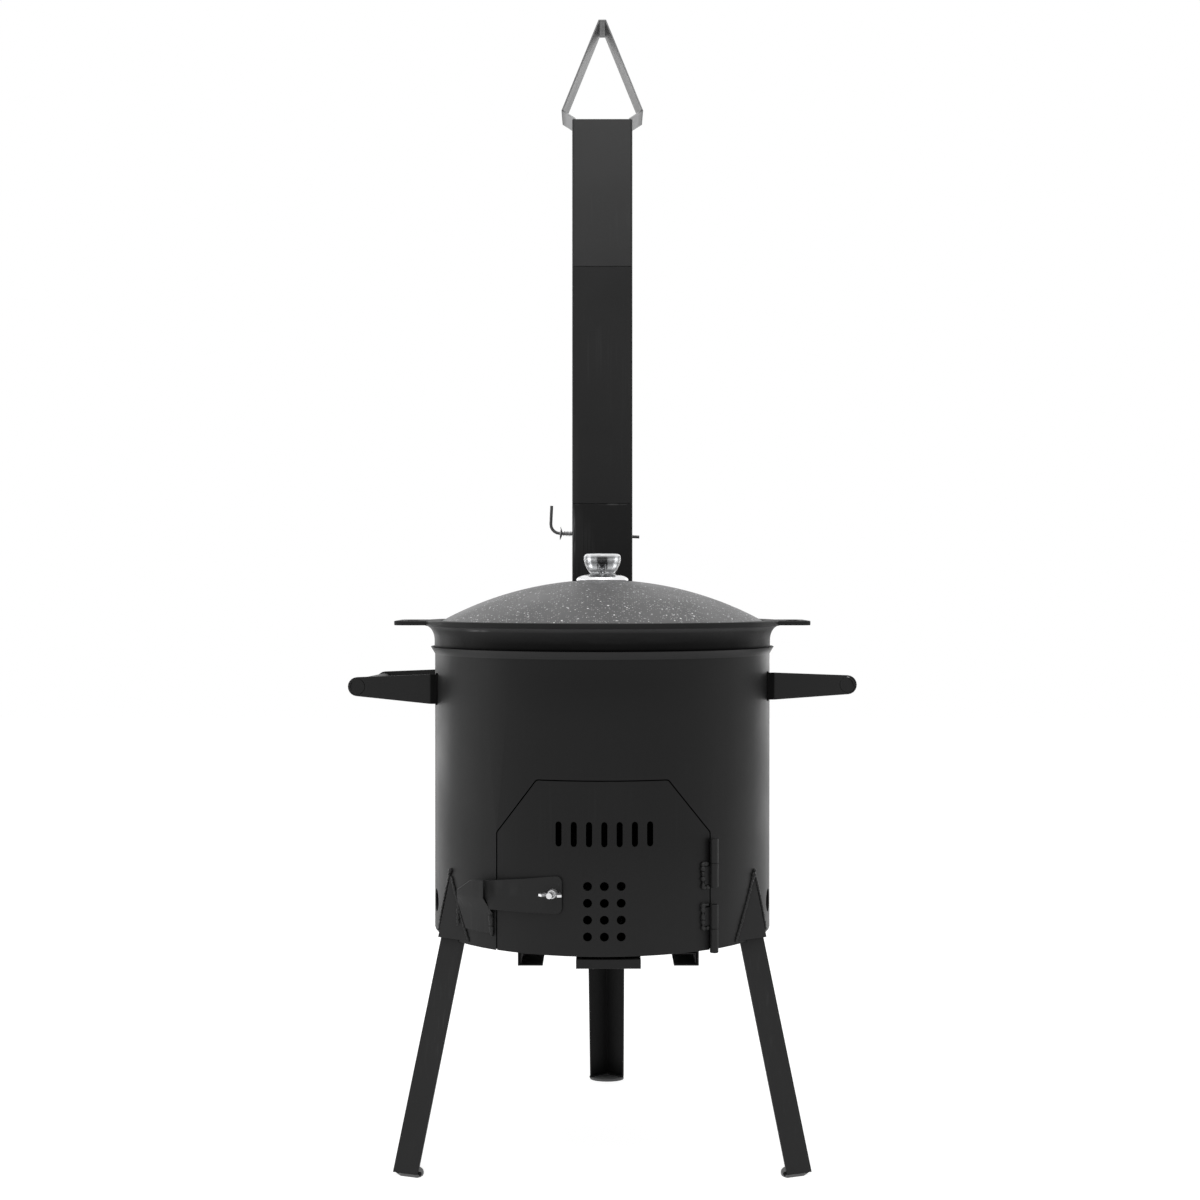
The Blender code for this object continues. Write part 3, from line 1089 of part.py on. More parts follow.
def centre_on_floor(root):
    """Move the stove so that the origin is on the floor under the middle of its outline."""
    bpy.context.view_layer.update()
    graph = bpy.context.evaluated_depsgraph_get()
    low = Vector((math.inf, math.inf, math.inf))
    high = -low
    for piece in bpy.context.scene.objects:
        if piece.type == "EMPTY" or piece.hide_render:
            continue
        evaluated = piece.evaluated_get(graph)
        mesh = evaluated.to_mesh()
        for vert in mesh.vertices:
            place = evaluated.matrix_world @ vert.co
            low = Vector(map(min, low, place))
            high = Vector(map(max, high, place))
        evaluated.to_mesh_clear()
    root.location = (-(low.x + high.x) / 2, -(low.y + high.y) / 2, -low.z)
    bpy.context.view_layer.update()


def main():
    for thing in list(bpy.data.objects):
        bpy.data.objects.remove(thing, do_unlink=True)
    root = pivot("stove", (0, 0, 0), None)
    make_drum(root)
    make_bottom(root)
    make_grate(root)
    door_marker = make_door(root)
    make_hinges(root, door_marker)
    make_latch(door_marker)
    make_catch(root)
    make_legs(root)
    make_handles(root)
    make_ash_slide(root)
    cauldron_marker = make_cauldron(root)
    make_lid(cauldron_marker)
    make_flue(root)
    make_pipes(root)
    make_damper(root)
    centre_on_floor(root)


main()
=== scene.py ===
import math

import bmesh
import bpy
from mathutils import Matrix, Vector


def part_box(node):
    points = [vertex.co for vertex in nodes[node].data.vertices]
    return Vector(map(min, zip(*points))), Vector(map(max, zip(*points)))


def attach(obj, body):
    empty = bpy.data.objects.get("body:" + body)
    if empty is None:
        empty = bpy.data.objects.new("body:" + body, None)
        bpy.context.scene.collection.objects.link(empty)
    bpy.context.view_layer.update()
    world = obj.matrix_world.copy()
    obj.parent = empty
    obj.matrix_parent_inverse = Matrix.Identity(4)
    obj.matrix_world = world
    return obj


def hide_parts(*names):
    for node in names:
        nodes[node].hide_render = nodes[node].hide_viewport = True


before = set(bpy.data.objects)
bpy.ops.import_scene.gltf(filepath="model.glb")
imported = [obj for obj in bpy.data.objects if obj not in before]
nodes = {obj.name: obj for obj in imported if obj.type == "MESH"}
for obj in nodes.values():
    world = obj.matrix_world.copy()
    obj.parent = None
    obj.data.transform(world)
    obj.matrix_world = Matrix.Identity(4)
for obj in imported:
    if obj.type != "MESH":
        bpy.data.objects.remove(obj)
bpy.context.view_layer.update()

# The studio: a white paper sweep, a soft window of light overhead, one far back at each side, a weak
# fill from the left, a small light on the chimney, and a level camera at the height of the lid.
scene = bpy.context.scene
scene.view_settings.view_transform = "Standard"
photo_side = 1200
focal_pixels = 1759
axis_pixel = 602.3
horizon_pixel = 586.6
camera_distance = 1.902
camera_height = 0.5955
drum_low, drum_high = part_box("drum_shell")
axis_y = (drum_low.y + drum_high.y) / 2
sensor_width = 36
camera_data = bpy.data.cameras.new("camera")
camera_data.sensor_width = sensor_width
camera_data.lens = focal_pixels * sensor_width / photo_side
camera_data.shift_x = (photo_side / 2 - axis_pixel) / photo_side
camera_data.shift_y = (horizon_pixel - photo_side / 2) / photo_side
camera_data.clip_start = 0.05
camera_data.clip_end = 60


def placed(name, data):
    """A new object in the scene, unmoved."""
    made = bpy.data.objects.new(name, data)
    scene.collection.objects.link(made)
    return made


camera = placed("camera", camera_data)
camera.location = (0, axis_y - camera_distance, camera_height)
camera.rotation_euler = (math.pi / 2, 0, 0)
scene.camera = camera


def wired(tree, kind, inputs=None, **settings):
    """Adds a node, makes its settings, then sets or links its inputs."""
    made = tree.nodes.new(kind)
    for name, value in settings.items():
        setattr(made, name, value)
    for key, value in (inputs or {}).items():
        if isinstance(value, bpy.types.NodeSocket):
            tree.links.new(value, made.inputs[key])
        else:
            made.inputs[key].default_value = value
    return made


def maths(tree, operation, first, second=0.0):
    """Joins two numbers, each a socket or a plain number."""
    return wired(tree, "ShaderNodeMath", {0: first, 1: second}, operation=operation).outputs[0]


def new_material(name):
    """An empty material, its node tree and the object's own metres to draw on."""
    made = bpy.data.materials.new(name)
    made.use_nodes = True
    tree = made.node_tree
    tree.nodes.clear()
    return made, tree, wired(tree, "ShaderNodeTexCoord").outputs["Object"]


def softbox(name, place, aim, width, height, power):
    """A rectangular soft light that faces a point."""
    data = bpy.data.lights.new(name, "AREA")
    data.shape = "RECTANGLE"
    data.size = width
    data.size_y = height
    data.energy = power
    made = placed(name, data)
    made.location = place
    made.rotation_euler = (Vector(aim) - Vector(place)).to_track_quat("-Z", "Y").to_euler()
    return made


middle_aim = (0, 0, 0.6)
softbox("overhead_light", (0, -0.5, 2.9), middle_aim, width=2.2, height=1.8, power=38)
softbox("left_light", (-1.95, 2.5, 1.0), middle_aim, width=0.8, height=2.0, power=14.5)
softbox("left_fill_light", (-2.4, 0.1, 0.8), (0, 0, 0.5), width=1.2, height=1.6, power=6.0)
softbox("right_light", (2.0, 2.9, 1.0), middle_aim, width=0.8, height=2.0, power=16)
chimney_light = softbox("chimney_light", (0, -1.2, 2.2), (0, 0.19, 1.2), width=0.6, height=0.6, power=1.8)
chimney_light.data.spread = math.radians(60)


def shown_rays(tree):
    """One for what the camera sees, straight, in a shine or through glass, and nought for bounced light."""
    rays = wired(tree, "ShaderNodeLightPath").outputs
    shine = maths(tree, "MAXIMUM", rays["Is Glossy Ray"], rays["Is Transmission Ray"])
    return maths(tree, "MAXIMUM", rays["Is Camera Ray"], shine)


white = (1, 1, 1, 1)
world = bpy.data.worlds.new("studio")
scene.world = world
world.use_nodes = True
sky = world.node_tree
sky.nodes.clear()
room_light = wired(sky, "ShaderNodeBackground", {"Color": white, "Strength": 0.45})
white_paper = wired(sky, "ShaderNodeBackground", {"Color": white, "Strength": 1.0})
sky_mix = wired(sky, "ShaderNodeMixShader", {0: shown_rays(sky), 1: room_light.outputs[0],
                                             2: white_paper.outputs[0]})
wired(sky, "ShaderNodeOutputWorld", {"Surface": sky_mix.outputs[0]})

floor_half = 6.0
floor_mesh = bpy.data.meshes.new("floor")
floor_mesh.from_pydata([(-floor_half, -floor_half, 0), (floor_half, -floor_half, 0),
                        (floor_half, floor_half, 0), (-floor_half, floor_half, 0)], [], [(0, 1, 2, 3)])
floor = placed("floor", floor_mesh)
paper, paper_tree, paper_place = new_material("white_paper_floor")
paper_grain = wired(paper_tree, "ShaderNodeTexNoise", {"Vector": paper_place, "Scale": 900.0, "Detail": 3.0})
paper_bump = wired(paper_tree, "ShaderNodeBump", {"Strength": 0.1, "Distance": 0.0003,
                                                  "Height": paper_grain.outputs[0]})
paper_matt = wired(paper_tree, "ShaderNodeBsdfDiffuse", {"Color": (0.4, 0.4, 0.4, 1),
                                                         "Normal": paper_bump.outputs[0]})
paper_glow = wired(paper_tree, "ShaderNodeEmission", {"Color": white, "Strength": 0.86})
paper_seen = wired(paper_tree, "ShaderNodeAddShader", {0: paper_matt.outputs[0], 1: paper_glow.outputs[0]})
paper_bounce = wired(paper_tree, "ShaderNodeBsdfDiffuse", {"Color": (0.95, 0.95, 0.95, 1)})
paper_mix = wired(paper_tree, "ShaderNodeMixShader", {0: shown_rays(paper_tree), 1: paper_bounce.outputs[0],
                                                      2: paper_seen.outputs[0]})
wired(paper_tree, "ShaderNodeOutputMaterial", {"Surface": paper_mix.outputs[0]})
floor_mesh.materials.append(paper)

# The drum with its firing door: mild steel sheet rolled round and cut by laser, closed by one weld
# down its back, and sprayed with a satin black heat-resistant paint. The door is the drum's own cut-out.


def grey(value):
    """A neutral colour, a trace warmer than the light."""
    return (value, value, value * 1.01, 1)


def mixed(tree, factor, first, second):
    """Blends two colours, each a socket or a plain colour."""
    return wired(tree, "ShaderNodeMix", {0: factor, 6: first, 7: second}, data_type="RGBA").outputs[2]


def ramp(tree, value, low, high, bottom=0.0, top=1.0):
    """Turns a span of values into another span, clamped at both ends."""
    return wired(tree, "ShaderNodeMapRange", {"Value": value, "From Min": low, "From Max": high,
                                              "To Min": bottom, "To Max": top}).outputs[0]


def product(tree, first, second):
    """Multiplies two numbers, such as a mask by a strength."""
    return maths(tree, "MULTIPLY", first, second)


def noise(tree, place, scale, detail=3.0, stretch=None):
    """Cloudy noise on the object's own metres, drawn out along an axis where asked."""
    if stretch:
        place = wired(tree, "ShaderNodeMapping", {"Vector": place, "Scale": stretch}).outputs[0]
    return wired(tree, "ShaderNodeTexNoise", {"Vector": place, "Scale": scale, "Detail": detail}).outputs[0]


def zone(tree, place, centre, half, edge):
    """One inside an ellipsoid, falling to nought over its outer share."""
    moved = wired(tree, "ShaderNodeVectorMath", {0: place, 1: centre}, operation="SUBTRACT")
    sized = wired(tree, "ShaderNodeVectorMath", {0: moved.outputs[0], 1: half}, operation="DIVIDE")
    away = wired(tree, "ShaderNodeVectorMath", {0: sized.outputs[0]}, operation="LENGTH")
    return ramp(tree, away.outputs["Value"], 1 - edge, 1, 1, 0)


def from_axis(tree, place):
    """Level distance from the drum's axis."""
    level = wired(tree, "ShaderNodeVectorMath", {0: place, 1: (1, 1, 0)}, operation="MULTIPLY")
    away = wired(tree, "ShaderNodeVectorMath", {0: level.outputs[0], 1: (0, axis_y, 0)},
                 operation="DISTANCE")
    return away.outputs["Value"]


def height_of(tree, place):
    """Height above the ground."""
    return wired(tree, "ShaderNodeSeparateXYZ", {0: place}).outputs["Z"]


def skinned(tree, colour, gloss, relief, strength, depth, constants):
    """Ends a material in one surface: its colour, its roughness, its fine relief and what stays the same."""
    bump = wired(tree, "ShaderNodeBump", {"Strength": strength, "Distance": depth, "Height": relief})
    skin = wired(tree, "ShaderNodeBsdfPrincipled", {"Base Color": colour, "Roughness": gloss,
                                                    "Normal": bump.outputs[0], **constants})
    wired(tree, "ShaderNodeOutputMaterial", {"Surface": skin.outputs[0]})


def paint_finish(name, tone=0.0085, roughness=0.45, shine=0.18, grain=0.00012, rub=0.3, patches=(),
                 darkened_within=0):
    """Satin black heat-resistant paint: faint clouds, orange peel, dry overspray and rubbed streaks.
    A patch is a centre, a half size, a tone, how streaky it is and how soft its edge is. Within a
    distance of the drum's axis the colour goes near black and the surface dull."""
    made, tree, place = new_material(name)
    clouds = noise(tree, place, 11.0, 4.0)
    speck = noise(tree, place, 1400.0, 2.0)
    upright_streaks = (260, 260, 7)
    lightening = ramp(tree, noise(tree, place, 1.0, 5.0, upright_streaks), 0.54, 0.78, 0, rub)
    dust = ramp(tree, speck, 0.62, 0.8, 0, 0.25)
    greyed = maths(tree, "MAXIMUM", product(tree, lightening, ramp(tree, clouds, 0.45, 0.7)), dust)
    colour = mixed(tree, clouds, grey(tone * 0.7), grey(tone * 1.35))
    colour = mixed(tree, greyed, colour, grey(tone + 0.035))
    gloss = ramp(tree, clouds, 0.3, 0.7, roughness - 0.05, roughness + 0.07)
    for centre, half, patch_tone, streaky, softness in patches:
        mask = zone(tree, place, centre, half, softness)
        if streaky:
            streaks = noise(tree, place, 1.0, 4.0, streaky)
            mask = product(tree, mask, ramp(tree, streaks, 0.42, 0.62))
        colour = mixed(tree, mask, colour, grey(patch_tone))
    # Near the drum's axis the colour goes near black and the surface dull.
    if darkened_within:
        fade = 0.001
        root_darkening = ramp(tree, from_axis(tree, place), darkened_within - fade, darkened_within + fade, 1, 0)
        colour = mixed(tree, root_darkening, colour, grey(0.001))
        gloss = maths(tree, "MAXIMUM", gloss, root_darkening)
    orange_peel = noise(tree, place, 420.0)
    relief = maths(tree, "ADD", orange_peel, speck)
    skinned(tree, colour, gloss, relief, 0.35, grain, {"Specular IOR Level": shine})
    return made


def new_tree(name, sizes):
    """An empty node tree with a shape going in and out and a named input for each size."""
    tree = bpy.data.node_groups.new(name, "GeometryNodeTree")
    tree.interface.new_socket("Geometry", in_out="INPUT", socket_type="NodeSocketGeometry")
    for size, kind in sizes.items():
        tree.interface.new_socket(size, in_out="INPUT", socket_type="NodeSocket" + kind)
    tree.interface.new_socket("Geometry", in_out="OUTPUT", socket_type="NodeSocketGeometry")
    return tree, wired(tree, "NodeGroupInput").outputs


def laid_on(piece, name, tree, values):
    """Puts a node tree on a piece and sets its inputs by their identifiers."""
    step = piece.modifiers.new(name, "NODES")
    step.node_group = tree
    for item in tree.interface.items_tree:
        if item.in_out == "INPUT" and item.name in values:
            step[item.identifier] = values[item.name]
    return step


def folded_shading(tree, shape, fold):
    """Smooth faces, with an edge kept sharp where it turns more than the fold angle."""
    smooth = wired(tree, "GeometryNodeSetShadeSmooth", {0: shape, "Shade Smooth": True}, domain="FACE")
    angle = wired(tree, "GeometryNodeInputMeshEdgeAngle")
    folded = wired(tree, "FunctionNodeCompare", {0: angle.outputs[0], 1: fold}, data_type="FLOAT",
                   operation="GREATER_THAN")
    return wired(tree, "GeometryNodeSetShadeSmooth", {0: smooth.outputs[0], "Selection": folded.outputs[0],
                                                      "Shade Smooth": False}, domain="EDGE").outputs[0]


def sent_out(tree, shape, finish):
    """Makes a shape real, gives it its finish and sends it out of its tree."""
    real = wired(tree, "GeometryNodeRealizeInstances", {0: shape})
    skin = wired(tree, "GeometryNodeSetMaterial", {0: real.outputs[0], "Material": finish})
    wired(tree, "NodeGroupOutput", {0: skin.outputs[0]})


sheet_shading, given = new_tree("sheet shading", {"Fold angle": "Float"})
plain_sheet = wired(sheet_shading, "GeometryNodeRemoveAttribute", {"Geometry": given["Geometry"],
                                                                   "Name": "custom_normal"})
wired(sheet_shading, "NodeGroupOutput", {0: folded_shading(sheet_shading, plain_sheet.outputs[0],
                                                           given["Fold angle"])})


def dress(name, finish, edge=0.0004):
    """Keeps a solid where it is, breaks its sharp edges and gives it its finish."""
    solid = nodes[name]
    weld = solid.modifiers.new("joined faces", "WELD")
    weld.merge_threshold = 0.000005
    flat = solid.modifiers.new("whole faces", "DECIMATE")
    flat.decimate_type = "DISSOLVE"
    flat.angle_limit = math.radians(0.4)
    if edge:
        broken = solid.modifiers.new("broken edges", "BEVEL")
        broken.width = edge
        broken.segments = 2
        broken.limit_method = "ANGLE"
        broken.angle_limit = math.radians(38)
        broken.use_clamp_overlap = True
    laid_on(solid, "shading", sheet_shading, {"Fold angle": math.radians(42)})
    weighted = solid.modifiers.new("flat faces", "WEIGHTED_NORMAL")
    weighted.keep_sharp = True
    solid.data.materials.clear()
    solid.data.materials.append(finish)


def settle(piece, finish):
    """Keeps what the nodes made as a plain mesh with its faces outwards, all in one finish."""
    bpy.context.view_layer.update()
    shown = piece.evaluated_get(bpy.context.evaluated_depsgraph_get())
    made = bpy.data.meshes.new_from_object(shown)
    piece.modifiers.clear()
    piece.data = made
    skin = bmesh.new()
    skin.from_mesh(made)
    bmesh.ops.recalc_face_normals(skin, faces=skin.faces)
    for face in skin.faces:
        face.material_index = 0
    skin.to_mesh(made)
    skin.free()
    made.materials.clear()
    made.materials.append(finish)
    return piece


bead_tree, given = new_tree("weld drops", {"Spacing": "Float", "Drop": "Float", "Unevenness": "Float",
                                           "Seed": "Int", "Finish": "Material"})
bead_line = wired(bead_tree, "GeometryNodeMeshToCurve", {0: given["Geometry"]})
bead_points = wired(bead_tree, "GeometryNodeResampleCurve", {"Curve": bead_line.outputs[0],
                                                             "Length": given["Spacing"]}, mode="LENGTH")
drop = wired(bead_tree, "GeometryNodeMeshUVSphere", {"Segments": 8, "Rings": 5, "Radius": 1.0})
smooth_drop = wired(bead_tree, "GeometryNodeSetShadeSmooth", {0: drop.outputs["Mesh"], "Shade Smooth": True})
least_share = maths(bead_tree, "SUBTRACT", 1.0, given["Unevenness"])
most_share = maths(bead_tree, "ADD", 1.0, given["Unevenness"])
uneven = wired(bead_tree, "FunctionNodeRandomValue", {2: least_share, 3: most_share, "Seed": given["Seed"]},
               data_type="FLOAT")
drop_size = product(bead_tree, uneven.outputs[1], given["Drop"])
turn = wired(bead_tree, "FunctionNodeRandomValue", {0: (0, 0, 0), 1: (3, 3, 3), "Seed": given["Seed"]},
             data_type="FLOAT_VECTOR")
drops = wired(bead_tree, "GeometryNodeInstanceOnPoints", {"Points": bead_points.outputs[0],
                                                          "Instance": smooth_drop.outputs[0],
                                                          "Rotation": turn.outputs[0], "Scale": drop_size})
sent_out(bead_tree, drops.outputs[0], given["Finish"])


def weld(name, lines, width, body, finish, seed, unevenness=0.28):
    """Lays weld beads along lines of points, as one plain mesh that rides on a body."""
    overlap = 0.45
    points = []
    edges = []
    for line in lines:
        start = len(points)
        points += [tuple(point) for point in line]
        edges += [(start + step, start + step + 1) for step in range(len(line) - 1)]
    mesh = bpy.data.meshes.new(name)
    mesh.from_pydata(points, edges, [])
    bead = placed(name, mesh)
    laid_on(bead, "drops", bead_tree, {"Spacing": width * overlap, "Drop": width / 2,
                                       "Unevenness": unevenness, "Seed": seed, "Finish": finish})
    settle(bead, finish)
    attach(bead, body)


def on_drum(azimuth, height, radius):
    """A point at the drum's wall, its azimuth in degrees from the door's side towards the right."""
    angle = math.radians(azimuth)
    return Vector((radius * math.sin(angle), axis_y - radius * math.cos(angle), height))


def between(first, last, count):
    """Even points from one place at the drum's wall to another, each an azimuth, a height and a radius."""
    line = []
    for step in range(count + 1):
        share = step / count
        line.append(on_drum(*[a + (b - a) * share for a, b in zip(first, last)]))
    return line


drum_paint = paint_finish("satin_black_drum_paint", tone=0.0075, rub=0.12, patches=[
    # Painted light: the lower part of the drum is painted lighter.
    ((0, axis_y, 0.225), (0.30, 0.30, 0.15), 0.0195, None, 0.9),
    # Painted shade: darker at the front just below the lip.
    ((0, axis_y - 0.18, 0.50), (0.13, 0.08, 0.04), 0.0045, None, 0.8),
    # Painted light: a lighter band round the flared lip.
    ((0, axis_y, 0.5275), (1.0, 1.0, 0.0040), 0.026, None, 0.12)])
# The weld paint is lighter than the paint round it: painted light that lifts the shade in the grooves where
# the beads lie.
lightened_weld_paint = paint_finish("satin_black_weld_paint", tone=0.021, roughness=0.42, shine=0.22, rub=0.5)
for name in ("drum_shell", "door_panel"):
    dress(name, drum_paint)
back_azimuth = 164
weld("drum_back_weld", [between((back_azimuth, 0.2345, 0.1799), (back_azimuth, 0.519, 0.1799), 24)],
     0.0034, "stove_body", drum_paint, seed=3, unevenness=0.12)

# The drum's floor with its ash slots, the angle lugs for the grate, and the ash slide in its two
# channel rails: folded sheet, tacked on from below and sprayed with the rest.
inside_paint = paint_finish("satin_black_inner_paint", tone=0.006, roughness=0.6, shine=0.12)
for name in ("bottom_plate", "grate_lug_left", "grate_lug_right", "grate_lug_rear"):
    dress(name, inside_paint)
rail_paint = paint_finish("satin_black_rail_paint", tone=0.014, roughness=0.5, shine=0.16, rub=0.5)
for name in ("slide_rail_left", "slide_rail_right", "ash_slide"):
    dress(name, rail_paint)
tacks = []
tack_inset = 0.0012
tack_half = 0.006
for name in ("slide_rail_left", "slide_rail_right"):
    rail_low, rail_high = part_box(name)
    for side in (rail_low.x + tack_inset, rail_high.x - tack_inset):
        for share in (0.12, 0.5, 0.88):
            middle = rail_low.y + (rail_high.y - rail_low.y) * share
            tacks.append([(side, middle - tack_half, rail_high.z), (side, middle + tack_half, rail_high.z)])
weld("rail_tack_welds", tacks, 0.0024, "stove_body", rail_paint, seed=5)

# The fire grate: laser-cut steel plate, left bare with its dark grey rolling scale, and laid loose
# on its lugs.
grate_steel = paint_finish("scaled_grate_steel", tone=0.02, roughness=0.62, shine=0.3, grain=0.0002, rub=0.5)
dress("fire_grate", grate_steel)

# The hinges: turned steel barrels, two welded to the drum and two with a leaf welded to the door.
# The beads beside the leaves are lumpy and painted over.
fitting_paint = paint_finish("satin_black_fitting_paint", tone=0.011, roughness=0.44, shine=0.22)
for name in ("hinge_upper_pin", "hinge_lower_pin", "hinge_upper_knuckle", "hinge_lower_knuckle"):
    dress(name, fitting_paint)
bead_radius = 0.1812
leaf_lines = []
for name in ("hinge_upper_knuckle", "hinge_lower_knuckle"):
    leaf_low, leaf_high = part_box(name)
    leaf_lines.append(between((33.7, leaf_low.z + 0.001, bead_radius),
                              (33.6, leaf_high.z - 0.001, bead_radius), 8))
    for height in (leaf_low.z + 0.0005, leaf_high.z - 0.0005):
        leaf_lines.append(between((34.0, height, bead_radius), (35.4, height, bead_radius), 3))
weld("hinge_leaf_welds", leaf_lines, 0.0042, "door", lightened_weld_paint, seed=7, unevenness=0.45)
pin_azimuth = 38.3
pin_lines = [between((pin_azimuth, low, bead_radius), (pin_azimuth, low + 0.02, bead_radius), 8)
             for low in (0.3225, 0.2320)]
weld("hinge_pin_welds", pin_lines, 0.0022, "stove_body", lightened_weld_paint, seed=8, unevenness=0.3)

# The latch: a bent steel strap that turns on a bolt through the door, and a hook plate on the drum
# behind which its nose drops. The hook plate is welded down its edges with a rough bead.
latch_paint = paint_finish("satin_black_latch_paint", tone=0.017, roughness=0.46, rub=0.45, patches=[
    ((-0.095, axis_y - 0.155, 0.298), (0.025, 0.02, 0.012), 0.026, (90, 90, 30), 0.8),
    # Painted shadow: the narrow dark patch beside the hook plate.
    ((-0.110, axis_y - 0.150, 0.296), (0.006, 0.02, 0.014), 0.006, None, 0.8)])
for name in ("latch_strap", "latch_catch"):
    dress(name, latch_paint)
weld("catch_weld", [between((-37.9, 0.2690, 0.1816), (-37.6, 0.2470, bead_radius), 10),
                    between((-54.2, 0.2650, bead_radius), (-54.0, 0.2500, bead_radius), 6)],
     0.0038, "stove_body", lightened_weld_paint, seed=11, unevenness=0.6)

# The legs: steel angle pushed up into folded sockets that are welded to the drum, with a blob over
# each socket's point. A small plate is welded under each leg's inner corner, and is worn grey.
leg_paint = paint_finish("satin_black_leg_paint", tone=0.017, roughness=0.46, shine=0.19, rub=0.4)
foot_paint = paint_finish("worn_foot_paint", tone=0.13, roughness=0.5, shine=0.4, rub=0.6)
# The rear leg is painted darker than the front ones, a painted shade of the drum above it; the foot welds
# share this dark paint.
shade_darkened_leg_paint = paint_finish("satin_black_rear_leg_paint", tone=0.007, roughness=0.5, shine=0.12, rub=0.3)
socket_azimuths = {"left": -60.0, "right": 60.0, "rear": 178.6}
socket_bead_radius = 0.1806
socket_top_turn = 0.9
socket_foot_turn = 11.3
foot_bead_shift = 0.0012
socket_lines = []
blobs = []
for side, azimuth in socket_azimuths.items():
    dress("leg_socket_" + side, leg_paint)
    dress("leg_" + side, shade_darkened_leg_paint if side == "rear" else leg_paint)
    dress("foot_" + side, foot_paint)
    leg_end = {tuple(round(size, 4) for size in point.co) for point in nodes["leg_" + side].data.vertices}
    leg_end = sorted([Vector(point) for point in leg_end if point[2] < 0.004],
                     key=lambda point: math.hypot(point.x, point.y - axis_y))
    first_end, last_end, corner = [
        point + (Vector((0, axis_y, point.z)) - point).normalized() * foot_bead_shift
        for point in (leg_end[0], leg_end[1], leg_end[4])]
    weld("foot_weld_" + side, [[first_end, corner, last_end]], 0.0040, side + "_leg", shade_darkened_leg_paint,
         seed=37, unevenness=0.2)
    for sign in (-1, 1):
        socket_lines.append(between((azimuth + sign * socket_top_turn, 0.2965, socket_bead_radius),
                                    (azimuth + sign * socket_foot_turn, 0.2365, socket_bead_radius), 16))
    blobs.append(between((azimuth - 0.5, 0.2990, socket_bead_radius),
                         (azimuth + 0.2, 0.3030, socket_bead_radius), 3))
weld("socket_welds", socket_lines, 0.0030, "stove_body", lightened_weld_paint, seed=13)
weld("socket_point_blobs", blobs, 0.0054, "stove_body", leg_paint, seed=17, unevenness=0.3)

# The side handles: tapered plate arms welded to the drum, with a round bar welded through their ends.
# The last few millimetres of the arms beside the drum are coloured near black and dull.
handle_paint = paint_finish("satin_black_handle_paint", tone=0.010, roughness=0.46, shine=0.2,
                            darkened_within=0.1875)
for side in ("left", "right"):
    for name in ("handle_" + side + "_arm_left", "handle_" + side + "_arm_right", "handle_" + side + "_grip"):
        dress(name, handle_paint)
root_lines = []
tip_rings = []
tip_bead_inset = 0.0012
tip_bead_radius = 0.0080
for side in ("left", "right"):
    for end in ("left", "right"):
        arm = "handle_" + side + "_arm_" + end
        arm_points = [point.co for point in nodes[arm].data.vertices]
        near = [point for point in arm_points if math.hypot(point.x, point.y - axis_y) < bead_radius]
        low_root = min(near, key=lambda point: point.z)
        high_root = max(near, key=lambda point: point.z)
        root_lines.append([low_root, (low_root + high_root) / 2, high_root])
    grip = nodes["handle_" + side + "_grip"].data.vertices
    for chosen, inward in ((min, tip_bead_inset), (max, -tip_bead_inset)):
        tip = chosen((point.co for point in grip), key=lambda point: point.y)
        ends = [point.co for point in grip if abs(point.co.y - tip.y) < 0.002]
        middle = sum(ends, Vector()) / len(ends)
        ring = []
        for step in range(13):
            angle = math.tau * step / 12
            ring.append(middle + Vector((tip_bead_radius * math.cos(angle), inward,
                                         tip_bead_radius * math.sin(angle))))
        tip_rings.append(ring)
weld("handle_root_welds", root_lines, 0.0026, "stove_body", handle_paint, seed=29)
weld("handle_tip_welds", tip_rings, 0.0022, "stove_body", handle_paint, seed=31, unevenness=0.4)

# The chimney: thin sheet folded square and welded down one rear corner, each length pushed on a
# sleeve, with a bent strip over the mouth to keep rain out.
chimney_paint = paint_finish("satin_black_chimney_paint", tone=0.007, roughness=0.46, shine=0.19, patches=[
    ((-0.034, 0.155, 0.72), (0.009, 0.02, 0.09), 0.014, None, 0.8)])
joint_height = 0.6935
stub_paint = paint_finish("satin_black_stub_paint", tone=0.006, roughness=0.46, shine=0.14, patches=[
    ((-0.031, 0.155, 0.660), (0.010, 0.02, 0.05), 0.014, None, 0.7),
    ((-0.0350, 0.155, 0.658), (0.0035, 0.02, 0.040), 0.16, (700, 700, 30), 0.5),
    ((-0.024, 0.158, 0.635), (0.02, 0.01, 0.05), 0.015, (700, 700, 20), 0.5),
    # Painted highlights: thin light lines at the joint, on the right half and on the left piece.
    ((0.014, 0.155, joint_height), (0.022, 0.01, 0.0012), 0.05, (90, 90, 90), 0.5),
    ((-0.030, 0.155, joint_height), (0.008, 0.01, 0.0012), 0.05, (90, 90, 90), 0.5)])
along_strip = (8, 170, 3)
crease_height = 1.1645
# On the cap the legs are darker with streaks along the strip, part brushed streaks and part painted shade;
# the tabs are lighter, painted light; a dark line at the crease is painted shade.
cap_painted_light_and_shade = [
    ((0, 0.19, 1.225), (0.3, 0.3, 0.062), 0.11, along_strip, 0.1),
    ((0, 0.19, 1.153), (0.3, 0.3, 0.0095), 0.33, None, 0.2),
    ((0, 0.19, crease_height), (0.3, 0.3, 0.0013), 0.04, None, 0.5)]
# The cap's light grey is painted light, for faces turned up to the light above.
cap_paint = paint_finish("cap_painted_light_paint", tone=0.19, roughness=0.4, shine=0.4, grain=0.00002, rub=0.5,
                         patches=cap_painted_light_and_shade)
# Painted light: the upper length is lighter than the lower one, and lighter again towards its top.
upper_paint = paint_finish("satin_black_upper_pipe_paint", tone=0.013, roughness=0.46, shine=0.24, patches=[
    ((0, 0.16, 1.16), (0.2, 0.2, 0.11), 0.017, None, 0.35)])
dress("pipe_sleeve", chimney_paint)


